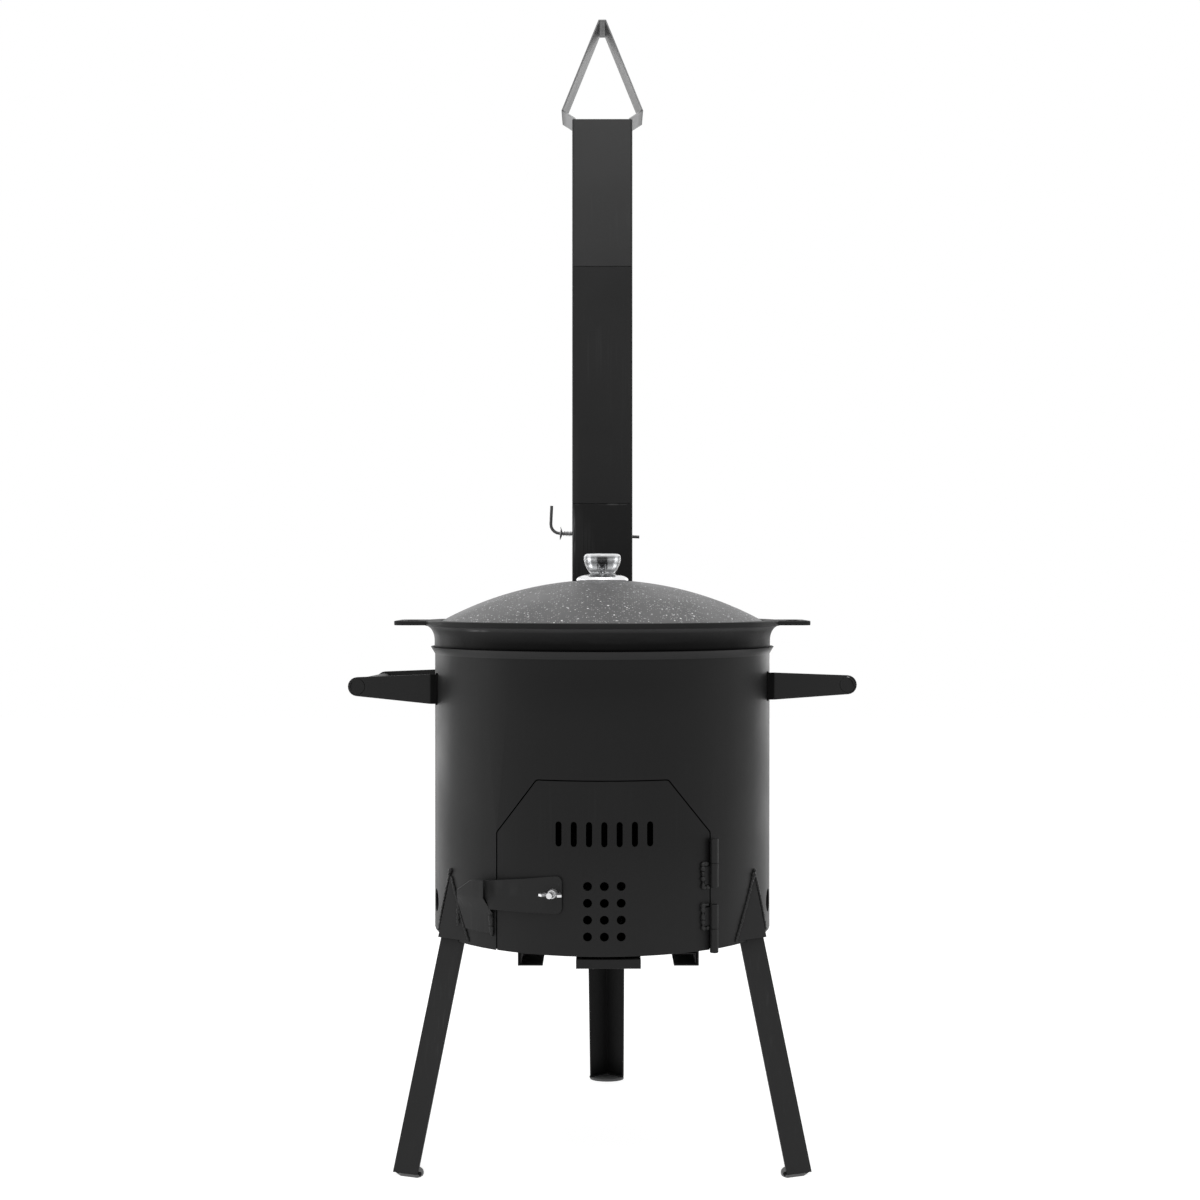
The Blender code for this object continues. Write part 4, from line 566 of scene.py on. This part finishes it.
def folded_tube(name, node, finish):
    """A square tube folded from sheet, with rounded folds and broken ends, in the space of its solid."""
    wall = 0.002
    fold_radius = 0.003
    least_radius = 0.0004
    broken = 0.0003
    fold_steps = 6
    low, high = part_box(node)
    middle = (low + high) / 2
    half = (high - low) / 2
    tube = bmesh.new()
    rings = []
    section = ((0, low.z + broken), (0, high.z - broken), (broken, high.z), (wall - broken, high.z),
               (wall, high.z - broken), (wall, low.z + broken), (wall - broken, low.z), (broken, low.z))
    for inset, height in section:
        ring = []
        bend = max(fold_radius - inset, least_radius)
        for quarter, (across, along) in enumerate(((1, 1), (-1, 1), (-1, -1), (1, -1))):
            bend_x = middle.x + across * (half.x - inset - bend)
            bend_y = middle.y + along * (half.y - inset - bend)
            for step in range(fold_steps + 1):
                angle = math.radians(90 * (quarter + step / fold_steps))
                ring.append(tube.verts.new((bend_x + bend * math.cos(angle),
                                            bend_y + bend * math.sin(angle), height)))
        rings.append(ring)
    for first, last in zip(rings, rings[1:] + rings[:1]):
        for step in range(len(first)):
            tube.faces.new((first[step], first[step - 1], last[step - 1], last[step]))
    bmesh.ops.recalc_face_normals(tube, faces=tube.faces)
    for face in tube.faces:
        face.smooth = True
    for line in tube.edges:
        line.smooth = line.calc_face_angle(0) < math.radians(35)
    mesh = bpy.data.meshes.new(name)
    tube.to_mesh(mesh)
    tube.free()
    mesh.materials.append(finish)
    piece = placed(name, mesh)
    weighted = piece.modifiers.new("flat faces", "WEIGHTED_NORMAL")
    weighted.keep_sharp = True
    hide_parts(node)
    return piece


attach(folded_tube("lower_pipe_folded", "lower_pipe", chimney_paint), "chimney_lower")
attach(folded_tube("upper_pipe_folded", "upper_pipe", upper_paint), "chimney_upper")
for name in ("flue_neck", "flue_stub", "flue_floor", "stub_sleeve"):
    dress(name, stub_paint)
dress("cap_strip", cap_paint)
seam_end = 0.003
for name, body in (("flue_stub", "stove_body"), ("lower_pipe", "chimney_lower"),
                   ("upper_pipe", "chimney_upper")):
    pipe_low, pipe_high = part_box(name)
    seam_x = pipe_high.x - 0.0002
    seam_y = pipe_high.y - 0.005
    seam_line = [(seam_x, seam_y, pipe_low.z + seam_end), (seam_x, seam_y, pipe_high.z - seam_end)]
    weld(name + "_seam", [seam_line], 0.0018, body, chimney_paint, seed=19, unevenness=0.15)
neck_low, neck_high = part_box("flue_neck")
neck_ring = [(across, neck_high.y, height) for across, height in (
    (neck_low.x, neck_low.z), (neck_high.x, neck_low.z), (neck_high.x, neck_high.z),
    (neck_low.x, neck_high.z), (neck_low.x, neck_low.z))]
weld("neck_weld", [neck_ring], 0.0030, "stove_body", stub_paint, seed=23)

# The damper: a bent wire through the stub with a plate on it, held by a coil spring and a cupped
# washer on the handle's side. The wire is dark from heat, the spring and the washer are bright.


def metal_finish(name, tone, roughness, grime=0.4, scratch=0.15):
    """Bare metal with fine rubbing marks and dull patches."""
    made, tree, place = new_material(name)
    patches = noise(tree, place, 160.0, 4.0)
    upright_marks = (2600, 2600, 160)
    marks = noise(tree, place, 1.0, 4.0, upright_marks)
    colour = mixed(tree, ramp(tree, patches, 0.4, 0.7, 0, grime), grey(tone), grey(tone * 0.45))
    dull = maths(tree, "ADD", ramp(tree, patches, 0.35, 0.7, roughness, roughness + 0.18),
                 ramp(tree, marks, 0.4, 0.7, 0, scratch))
    skinned(tree, colour, dull, marks, 0.2, 0.00008, {"Metallic": 1.0})
    return made


wire_steel = paint_finish("dark_damper_wire", tone=0.055, roughness=0.4, shine=0.35, grain=0.00005, rub=0.8)
spring_steel = metal_finish("bright_spring_steel", tone=0.5, roughness=0.25)
dress("damper_rod", wire_steel, edge=0.0003)
dress("damper_plate", inside_paint)
dress("damper_washer", spring_steel, edge=0.0002)
coil_tree, given = new_tree("wound wire", {"Turns": "Float", "Coil radius": "Float", "Wire radius": "Float",
                                           "Length": "Float", "Finish": "Material"})
coil_path = wired(coil_tree, "GeometryNodeCurveSpiral",
                  {"Resolution": 28, "Rotations": given["Turns"], "Start Radius": given["Coil radius"],
                   "End Radius": given["Coil radius"], "Height": given["Length"]})
wire_section = wired(coil_tree, "GeometryNodeCurvePrimitiveCircle",
                     {"Resolution": 10, "Radius": given["Wire radius"]}, mode="RADIUS")
coil = wired(coil_tree, "GeometryNodeCurveToMesh", {"Curve": coil_path.outputs[0], "Fill Caps": True,
                                                    "Profile Curve": wire_section.outputs[0]})
coil_fold = 0.8
sent_out(coil_tree, folded_shading(coil_tree, coil.outputs[0], coil_fold), given["Finish"])
damper_pivot = Vector((0, 0.19425, 0.6577))
damper_axis = Vector((0.998971, 0, -0.045363))
spring_low, spring_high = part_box("damper_spring")
spring_wire = 0.0004
spring_inset = spring_wire * 1.2
spring_start = (spring_low.x + spring_inset) / damper_axis.x
spring_length = (spring_high.x - spring_low.x - 2 * spring_inset) / damper_axis.x
spring = placed("damper_coil_spring", bpy.data.meshes.new("damper_coil_spring"))
laid_on(spring, "wire", coil_tree, {"Turns": 6.0, "Coil radius": 0.0027, "Wire radius": spring_wire,
                                    "Length": spring_length, "Finish": spring_steel})
settle(spring, spring_steel)
along_rod = damper_axis.to_track_quat("Z", "Y").to_matrix().to_4x4()
spring.data.transform(Matrix.Translation(damper_pivot + damper_axis * spring_start) @ along_rod)
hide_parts("damper_spring")
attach(spring, "damper")

# The cauldron: an iron bowl under thin paint, with its rim turned smooth and two slotted lugs cast
# on. It hangs by its neck in the drum's lip, where its paint is darkened as painted shade.


def cast_finish(name, tone, roughness, shine, rim_from, rim_tone, patches):
    """Cast metal under thin satin paint: sandy pits and soft clouds. Outside, the neck is painted near black
    where it stands in the drum's lip, a painted shade, and lighter in mottled clouds up to the rim, with
    a lighter band under the rim, both painted light. A patch is a painted highlight or painted light: a
    centre, a half size, a tone and how streaky it is."""
    made, tree, place = new_material(name)
    clouds = noise(tree, place, 24.0, 5.0)
    sand = noise(tree, place, 520.0, 4.0)
    pits = ramp(tree, noise(tree, place, 210.0, 2.0), 0.62, 0.72)
    colour = mixed(tree, clouds, grey(tone * 0.55), grey(tone * 1.5))
    colour = mixed(tree, product(tree, pits, 0.5), colour, grey(tone * 0.3))
    height = height_of(tree, place)
    outside = ramp(tree, from_axis(tree, place), 0.176, 0.178)
    # Painted shade: outside, the neck goes near black where it stands in the drum's lip.
    neck_shade = product(tree, ramp(tree, height, 0.518, 0.528), ramp(tree, height, 0.533, 0.547, 1, 0))
    colour = mixed(tree, product(tree, outside, neck_shade), colour, grey(0.0006))
    # Painted light: the neck grows lighter in mottled clouds up to the rim.
    lightening = product(tree, ramp(tree, height, 0.538, 0.5535), ramp(tree, clouds, 0.2, 0.6, 0.6, 1))
    colour = mixed(tree, product(tree, outside, lightening), colour, grey(0.030))
    # Painted light: a lighter band under the rim that lifts the shade of its rounded lower edge.
    under_rim_painted_light = ramp(tree, height, rim_from - 0.0045, rim_from - 0.0008)
    colour = mixed(tree, product(tree, outside, under_rim_painted_light), colour, grey(0.065))
    # The patches are painted highlights and painted light.
    for centre, half, patch_tone, streaky in patches:
        streaks = noise(tree, place, 1.0, 4.0, streaky)
        mask = product(tree, zone(tree, place, centre, half, 0.6), ramp(tree, streaks, 0.35, 0.65))
        colour = mixed(tree, mask, colour, grey(patch_tone))
    colour = mixed(tree, ramp(tree, height, rim_from - 0.0006, rim_from + 0.0004), colour, grey(rim_tone))
    gloss = ramp(tree, clouds, 0.3, 0.7, roughness - 0.08, roughness + 0.1)
    relief = maths(tree, "ADD", sand, product(tree, pits, -0.6))
    skinned(tree, colour, gloss, relief, 0.5, 0.00025, {"Specular IOR Level": shine})
    return made


turning_tree, given = new_tree("turned on an axis", {"Steps": "Int", "Fold angle": "Float",
                                                     "Finish": "Material"})
profile_size = wired(turning_tree, "GeometryNodeAttributeDomainSize", {0: given["Geometry"]},
                     component="MESH")
profile_rows = profile_size.outputs["Point Count"]
turn_columns = maths(turning_tree, "ADD", given["Steps"], 1.0)
turn_sheet = wired(turning_tree, "GeometryNodeMeshGrid", {"Vertices X": turn_columns,
                                                          "Vertices Y": profile_rows})
profile_places = wired(turning_tree, "GeometryNodeInputPosition").outputs[0]
place_number = wired(turning_tree, "GeometryNodeInputIndex").outputs[0]
profile_row = maths(turning_tree, "MODULO", place_number, profile_rows)
turn_column = maths(turning_tree, "FLOOR", maths(turning_tree, "DIVIDE", place_number, profile_rows))
turn_step = maths(turning_tree, "DIVIDE", math.tau, given["Steps"])
turn_angle = product(turning_tree, turn_column, turn_step)
profile_point = wired(turning_tree, "GeometryNodeSampleIndex",
                      {"Geometry": given["Geometry"], "Value": profile_places, "Index": profile_row},
                      data_type="FLOAT_VECTOR", domain="POINT")
turned_point = wired(turning_tree, "ShaderNodeVectorRotate", {"Vector": profile_point.outputs[0],
                                                              "Angle": turn_angle}, rotation_type="Z_AXIS")
turned_sheet = wired(turning_tree, "GeometryNodeSetPosition", {"Geometry": turn_sheet.outputs[0],
                                                               "Position": turned_point.outputs[0]})
closed_sheet = wired(turning_tree, "GeometryNodeMergeByDistance", {"Geometry": turned_sheet.outputs[0],
                                                                   "Distance": 0.000004})
sent_out(turning_tree, folded_shading(turning_tree, closed_sheet.outputs[0], given["Fold angle"]),
         given["Finish"])


def turned(name, profile, steps, finish, fold=35):
    """Turns a closed profile of radius and height round the drum's axis."""
    mesh = bpy.data.meshes.new(name)
    ring = [(radius, 0, height) for radius, height in profile]
    mesh.from_pydata(ring + ring[:1], [(step, step + 1) for step in range(len(ring))], [])
    piece = placed(name, mesh)
    laid_on(piece, "turning", turning_tree, {"Steps": steps, "Fold angle": math.radians(fold),
                                             "Finish": finish})
    settle(piece, finish)
    piece.data.transform(Matrix.Translation((0, axis_y, 0)))
    return piece


def arc(centre, radius, start, end, steps):
    """Points of a circle's arc in the profile, the angles in degrees."""
    line = []
    for step in range(steps + 1):
        angle = math.radians(start + (end - start) * step / steps)
        line.append((centre[0] + radius * math.cos(angle), centre[1] + radius * math.sin(angle)))
    return line


def ellipse_bowl(radius, depth, mouth, height, steps):
    """A quarter ellipse from the bowl's mouth to its middle."""
    start = math.acos(min(1, mouth / radius))
    line = []
    for step in range(steps):
        angle = start + (math.pi / 2 - start) * step / steps
        line.append((radius * math.cos(angle), height - depth * math.sin(angle)))
    return line + [(0, height - depth)]


wide_steps = 144
narrow_steps = 72
rim_top = 0.5595
rim_low = 0.5540
rim_radius = 0.1915
neck_radius = 0.1805
edge_round = 0.0009
# A painted highlight on the left of the neck, and painted light across its front.
neck_painted_light = [
    ((-0.1275, axis_y - 0.135, 0.5512), (0.022, 0.02, 0.0018), 0.15, (60, 60, 700)),
    ((0.0, axis_y - 0.170, 0.545), (0.120, 0.04, 0.007), 0.016, (40, 40, 160))]
cauldron_iron = cast_finish("painted_cast_iron", tone=0.006, roughness=0.5, shine=0.08, rim_from=rim_low,
                            rim_tone=0.02, patches=neck_painted_light)
fillet_width = 0.0105
fillet_height = 0.016
fillet_steps = 12
fillet = []
for step in range(fillet_steps):
    angle = math.pi / 2 * (step + 1) / fillet_steps
    fillet.append((neck_radius + fillet_width * (1 - math.sin(angle)),
                   rim_low - fillet_height * (1 - math.cos(angle))))
bowl_height = 0.524
mouth_radius = 0.1715
seat_radius = 0.1740
seat_height = 0.5550
cauldron_profile = [(seat_radius + 0.0002, rim_top)]
cauldron_profile += arc((rim_radius - edge_round, rim_top - edge_round), edge_round, 90, 0, 4)
cauldron_profile += arc((rim_radius - edge_round, rim_low + edge_round), edge_round, 0, -80, 4)
cauldron_profile += fillet + [(neck_radius, 0.5318), (neck_radius - 0.0003, 0.5312)]
cauldron_profile += ellipse_bowl(0.1777, 0.132, 0.1777, bowl_height, 30)
cauldron_profile += ellipse_bowl(0.1732, 0.1275, mouth_radius, bowl_height, 30)[::-1]
cauldron_profile += [(mouth_radius, seat_height), (seat_radius, seat_height), (seat_radius, rim_top - 0.0002)]
bowl = turned("cast_cauldron", cauldron_profile, wide_steps, cauldron_iron)


def plate_from(name, outlines, low, high, edge, finish):
    """A flat plate with rounded edges, cut to its outlines, lying between two heights."""
    flat = bpy.data.curves.new(name, "CURVE")
    flat.dimensions = "2D"
    flat.fill_mode = "BOTH"
    flat.extrude = (high - low) / 2 - edge
    flat.bevel_depth = edge
    flat.bevel_resolution = 2
    flat.offset = -edge
    for outline in outlines:
        spline = flat.splines.new("POLY")
        spline.points.add(len(outline) - 1)
        for point, (x, y) in zip(spline.points, outline):
            point.co = (x, y, 0, 1)
        spline.use_cyclic_u = True
    rough = placed(name, flat)
    bpy.context.view_layer.update()
    mesh = bpy.data.meshes.new_from_object(rough.evaluated_get(bpy.context.evaluated_depsgraph_get()))
    bpy.data.objects.remove(rough)
    mesh.transform(Matrix.Translation((0, 0, (low + high) / 2)))
    skin = bmesh.new()
    skin.from_mesh(mesh)
    bmesh.ops.remove_doubles(skin, verts=skin.verts, dist=0.000004)
    bmesh.ops.recalc_face_normals(skin, faces=skin.faces)
    for face in skin.faces:
        face.smooth = True
    for line in skin.edges:
        line.smooth = len(line.link_faces) < 2 or line.calc_face_angle(0) < math.radians(50)
    skin.to_mesh(mesh)
    skin.free()
    mesh.materials.clear()
    mesh.materials.append(finish)
    return mesh


def lug_outlines(side):
    """The lug's outline with rounded corners, and its slot with round ends."""
    root = 0.1860
    tip = 0.2212
    half = 0.045
    corner = 0.012
    outer = [(root, -half)] + arc((tip - corner, -half + corner), corner, -90, 0, 8)
    outer += arc((tip - corner, half - corner), corner, 0, 90, 8) + [(root, half)]
    slot_middle = 0.2055
    round_end = 0.007
    straight = 0.024 - round_end
    slot = arc((slot_middle, straight), round_end, 0, 180, 12)
    slot += arc((slot_middle, -straight), round_end, 180, 360, 12)
    return [[(side * x, y + axis_y) for x, y in line] for line in (outer, slot)]


lug_low = 0.5545
lug_high = 0.5592
whole = bmesh.new()
whole.from_mesh(bowl.data)
for side in (-1, 1):
    whole.from_mesh(plate_from("lug", lug_outlines(side), lug_low, lug_high, edge_round, cauldron_iron))
whole.to_mesh(bowl.data)
whole.free()
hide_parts("cauldron")
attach(bowl, "cauldron_body")

# The lid: a shallow spun dome with a flat crest under the knob, enamelled dark grey with fine white
# specks that lie thicker towards its edge.


def speckled_finish(name, tone, roughness):
    """Dark grey enamel with three sizes of white speck, a faint orange peel and soft clouds. A speck's
    size is a scale, a reach, how rare it is and how bright it is."""
    made, tree, place = new_material(name)
    colour = mixed(tree, noise(tree, place, 30.0, 4.0), grey(tone * 0.82), grey(tone * 1.2))
    crowd = noise(tree, place, 16.0, 2.0)
    low_down = ramp(tree, height_of(tree, place), 0.560, 0.604, 0.16, -0.05)
    specks = ((480.0, 0.42, 1.16, 0.27), (260.0, 0.30, 1.22, 0.50), (150.0, 0.20, 1.26, 0.80))
    for scale, reach, rare, bright in specks:
        cells = wired(tree, "ShaderNodeTexVoronoi", {"Vector": place, "Scale": scale})
        chance = wired(tree, "ShaderNodeSeparateColor", {0: cells.outputs["Color"]}).outputs
        full = maths(tree, "ADD", maths(tree, "ADD", crowd, low_down), chance[0])
        kept = ramp(tree, full, rare, rare + 0.04)
        inside = maths(tree, "SUBTRACT", ramp(tree, chance[1], 0, 1, reach * 0.5, reach),
                       cells.outputs["Distance"])
        dot = product(tree, kept, ramp(tree, inside, 0, 0.05))
        colour = mixed(tree, dot, colour, grey(bright))
    gloss = ramp(tree, crowd, 0.3, 0.7, roughness - 0.05, roughness + 0.08)
    skinned(tree, colour, gloss, noise(tree, place, 600.0), 0.3, 0.0001, {"Specular IOR Level": 0.35})
    return made


lid_enamel = speckled_finish("speckled_grey_enamel", tone=0.078, roughness=0.42)
dome_radius = 0.36
crest_radius = 0.0328
lid_radius = 0.1735
lid_sheet = 0.0025
lid_top = 0.60137
crest_drop = math.sqrt(dome_radius ** 2 - crest_radius ** 2)


def dome_height(radius):
    """Height of the lid's outer face at a radius."""
    return lid_top - crest_drop + math.sqrt(dome_radius ** 2 - max(radius, crest_radius) ** 2)


screw_hole = 0.003
dome_edge = lid_radius - 0.0008
dome_steps = 40
dome_line = [crest_radius + (dome_edge - crest_radius) * step / dome_steps for step in range(dome_steps + 1)]
lid_profile = [(screw_hole, lid_top)] + [(radius, dome_height(radius)) for radius in dome_line]
lid_profile += [(lid_radius - 0.0002, 0.5574), (lid_radius, 0.5567), (lid_radius - 0.0003, 0.5557),
                (lid_radius - 0.0012, 0.5553), (lid_radius - lid_sheet, 0.5556)]
lid_profile += [(radius, dome_height(radius) - lid_sheet) for radius in dome_line[:-1][::-1]]
lid_profile += [(screw_hole, lid_top - lid_sheet)]
dome = turned("lid_dome_enamelled", lid_profile, wide_steps, lid_enamel, fold=30)
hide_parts("lid_dome")
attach(dome, "lid")

# The lid's knob: a pressed and polished steel plate, a pressed clear glass knob with a dished top,
# and the screw that holds both from below.


def smooth_line(points, steps):
    """A smooth curve through profile points."""
    line = []
    for number in range(len(points) - 1):
        before = Vector(points[max(number - 1, 0)])
        first = Vector(points[number])
        last = Vector(points[number + 1])
        after = Vector(points[min(number + 2, len(points) - 1)])
        for step in range(steps):
            share = step / steps
            straight = (last - before) * share
            bent = (2 * before - 5 * first + 4 * last - after) * share ** 2
            twice_bent = (3 * first - before - 3 * last + after) * share ** 3
            line.append(tuple((2 * first + straight + bent + twice_bent) / 2))
    return line + [tuple(points[-1])]


polished = metal_finish("polished_steel", tone=0.86, roughness=0.1, grime=0.1, scratch=0.04)
plate_line = smooth_line([(0.0280, 0.6030), (0.0268, 0.6049), (0.0224, 0.60715), (0.0155, 0.60885)], 6)
plate_low = 0.6017
plate_top = 0.60917
plate_profile = [(screw_hole, plate_low), (0.0277, plate_low), (0.0280, 0.6021)] + plate_line
plate_profile += [(0.0150, plate_top), (screw_hole, plate_top)]
knob_plate = turned("knob_plate_polished", plate_profile, narrow_steps, polished, fold=40)
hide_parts("knob_plate")
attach(knob_plate, "lid")
dress("knob_screw", polished, edge=0.0002)

glass, glass_tree, glass_place = new_material("clear_knob_glass")
glass_waves = noise(glass_tree, glass_place, 130.0, 2.0)
glass_rings = wired(glass_tree, "ShaderNodeTexWave",
                    {"Vector": glass_place, "Scale": 43.0, "Distortion": 0.8, "Detail": 1.0,
                     "Detail Scale": 20.0, "Phase Offset": 1.0}, bands_direction="Z")
glass_relief = maths(glass_tree, "ADD", product(glass_tree, glass_waves, 0.5), glass_rings.outputs["Fac"])
glass_bump = wired(glass_tree, "ShaderNodeBump", {"Strength": 0.4, "Distance": 0.0007,
                                                  "Height": glass_relief})
# Painted highlight: a whitish layer near the glass's top edge.
glass_highlight_height = ramp(glass_tree, height_of(glass_tree, glass_place), 0.6268, 0.6290)
# Painted refraction: the glass's colour runs in dark and light bands along the rings.
dark_refraction_band = (0.09, 0.092, 0.095, 1)
light_refraction_band = (0.50, 0.51, 0.52, 1)
glass_painted_bands = mixed(glass_tree, glass_rings.outputs["Fac"], dark_refraction_band, light_refraction_band)
glass_gloss = ramp(glass_tree, noise(glass_tree, glass_place, 400.0, 3.0), 0.45, 0.75, 0.01, 0.07)
glass_skin = wired(glass_tree, "ShaderNodeBsdfPrincipled",
                   {"Base Color": glass_painted_bands, "IOR": 1.5, "Roughness": glass_gloss,
                    "Transmission Weight": 1.0, "Normal": glass_bump.outputs[0]})
glass_glint = wired(glass_tree, "ShaderNodeBsdfPrincipled", {"Base Color": (0.9, 0.91, 0.92, 1),
                                                             "Roughness": 0.2})
glass_whole = wired(glass_tree, "ShaderNodeMixShader", {0: product(glass_tree, glass_highlight_height, 0.7),
                                                        1: glass_skin.outputs[0], 2: glass_glint.outputs[0]})
wired(glass_tree, "ShaderNodeOutputMaterial", {"Surface": glass_whole.outputs[0]})
knob_low = 0.60947
knob_line = smooth_line([(0.0127, knob_low), (0.0150, 0.6122), (0.0174, 0.6165), (0.0190, 0.6203),
                         (0.0199, 0.6245), (0.0198, 0.6276), (0.0188, 0.6298), (0.0158, 0.63095),
                         (0.0120, 0.6306), (0.0090, 0.6301), (0.0045, 0.62985)], 6)
knob_bore_end = [(0, 0.6298), (0, 0.6216), (0.0027, 0.62147), (screw_hole, 0.6212)]
knob_profile = [(screw_hole, knob_low)] + knob_line + knob_bore_end
knob = turned("glass_knob_clear", knob_profile, narrow_steps, glass, fold=50)
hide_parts("glass_knob")
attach(knob, "lid")

# The latch's bolt and wing nut: zinc-plated steel, a bolt through the door and a nut cast with two
# thin wings, screwed up against the strap.
plated = metal_finish("zinc_plate", tone=0.75, roughness=0.26, grime=0.25, scratch=0.1)
dress("latch_bolt", plated, edge=0.0003)
dress("wing_nut", plated, edge=0.0005)
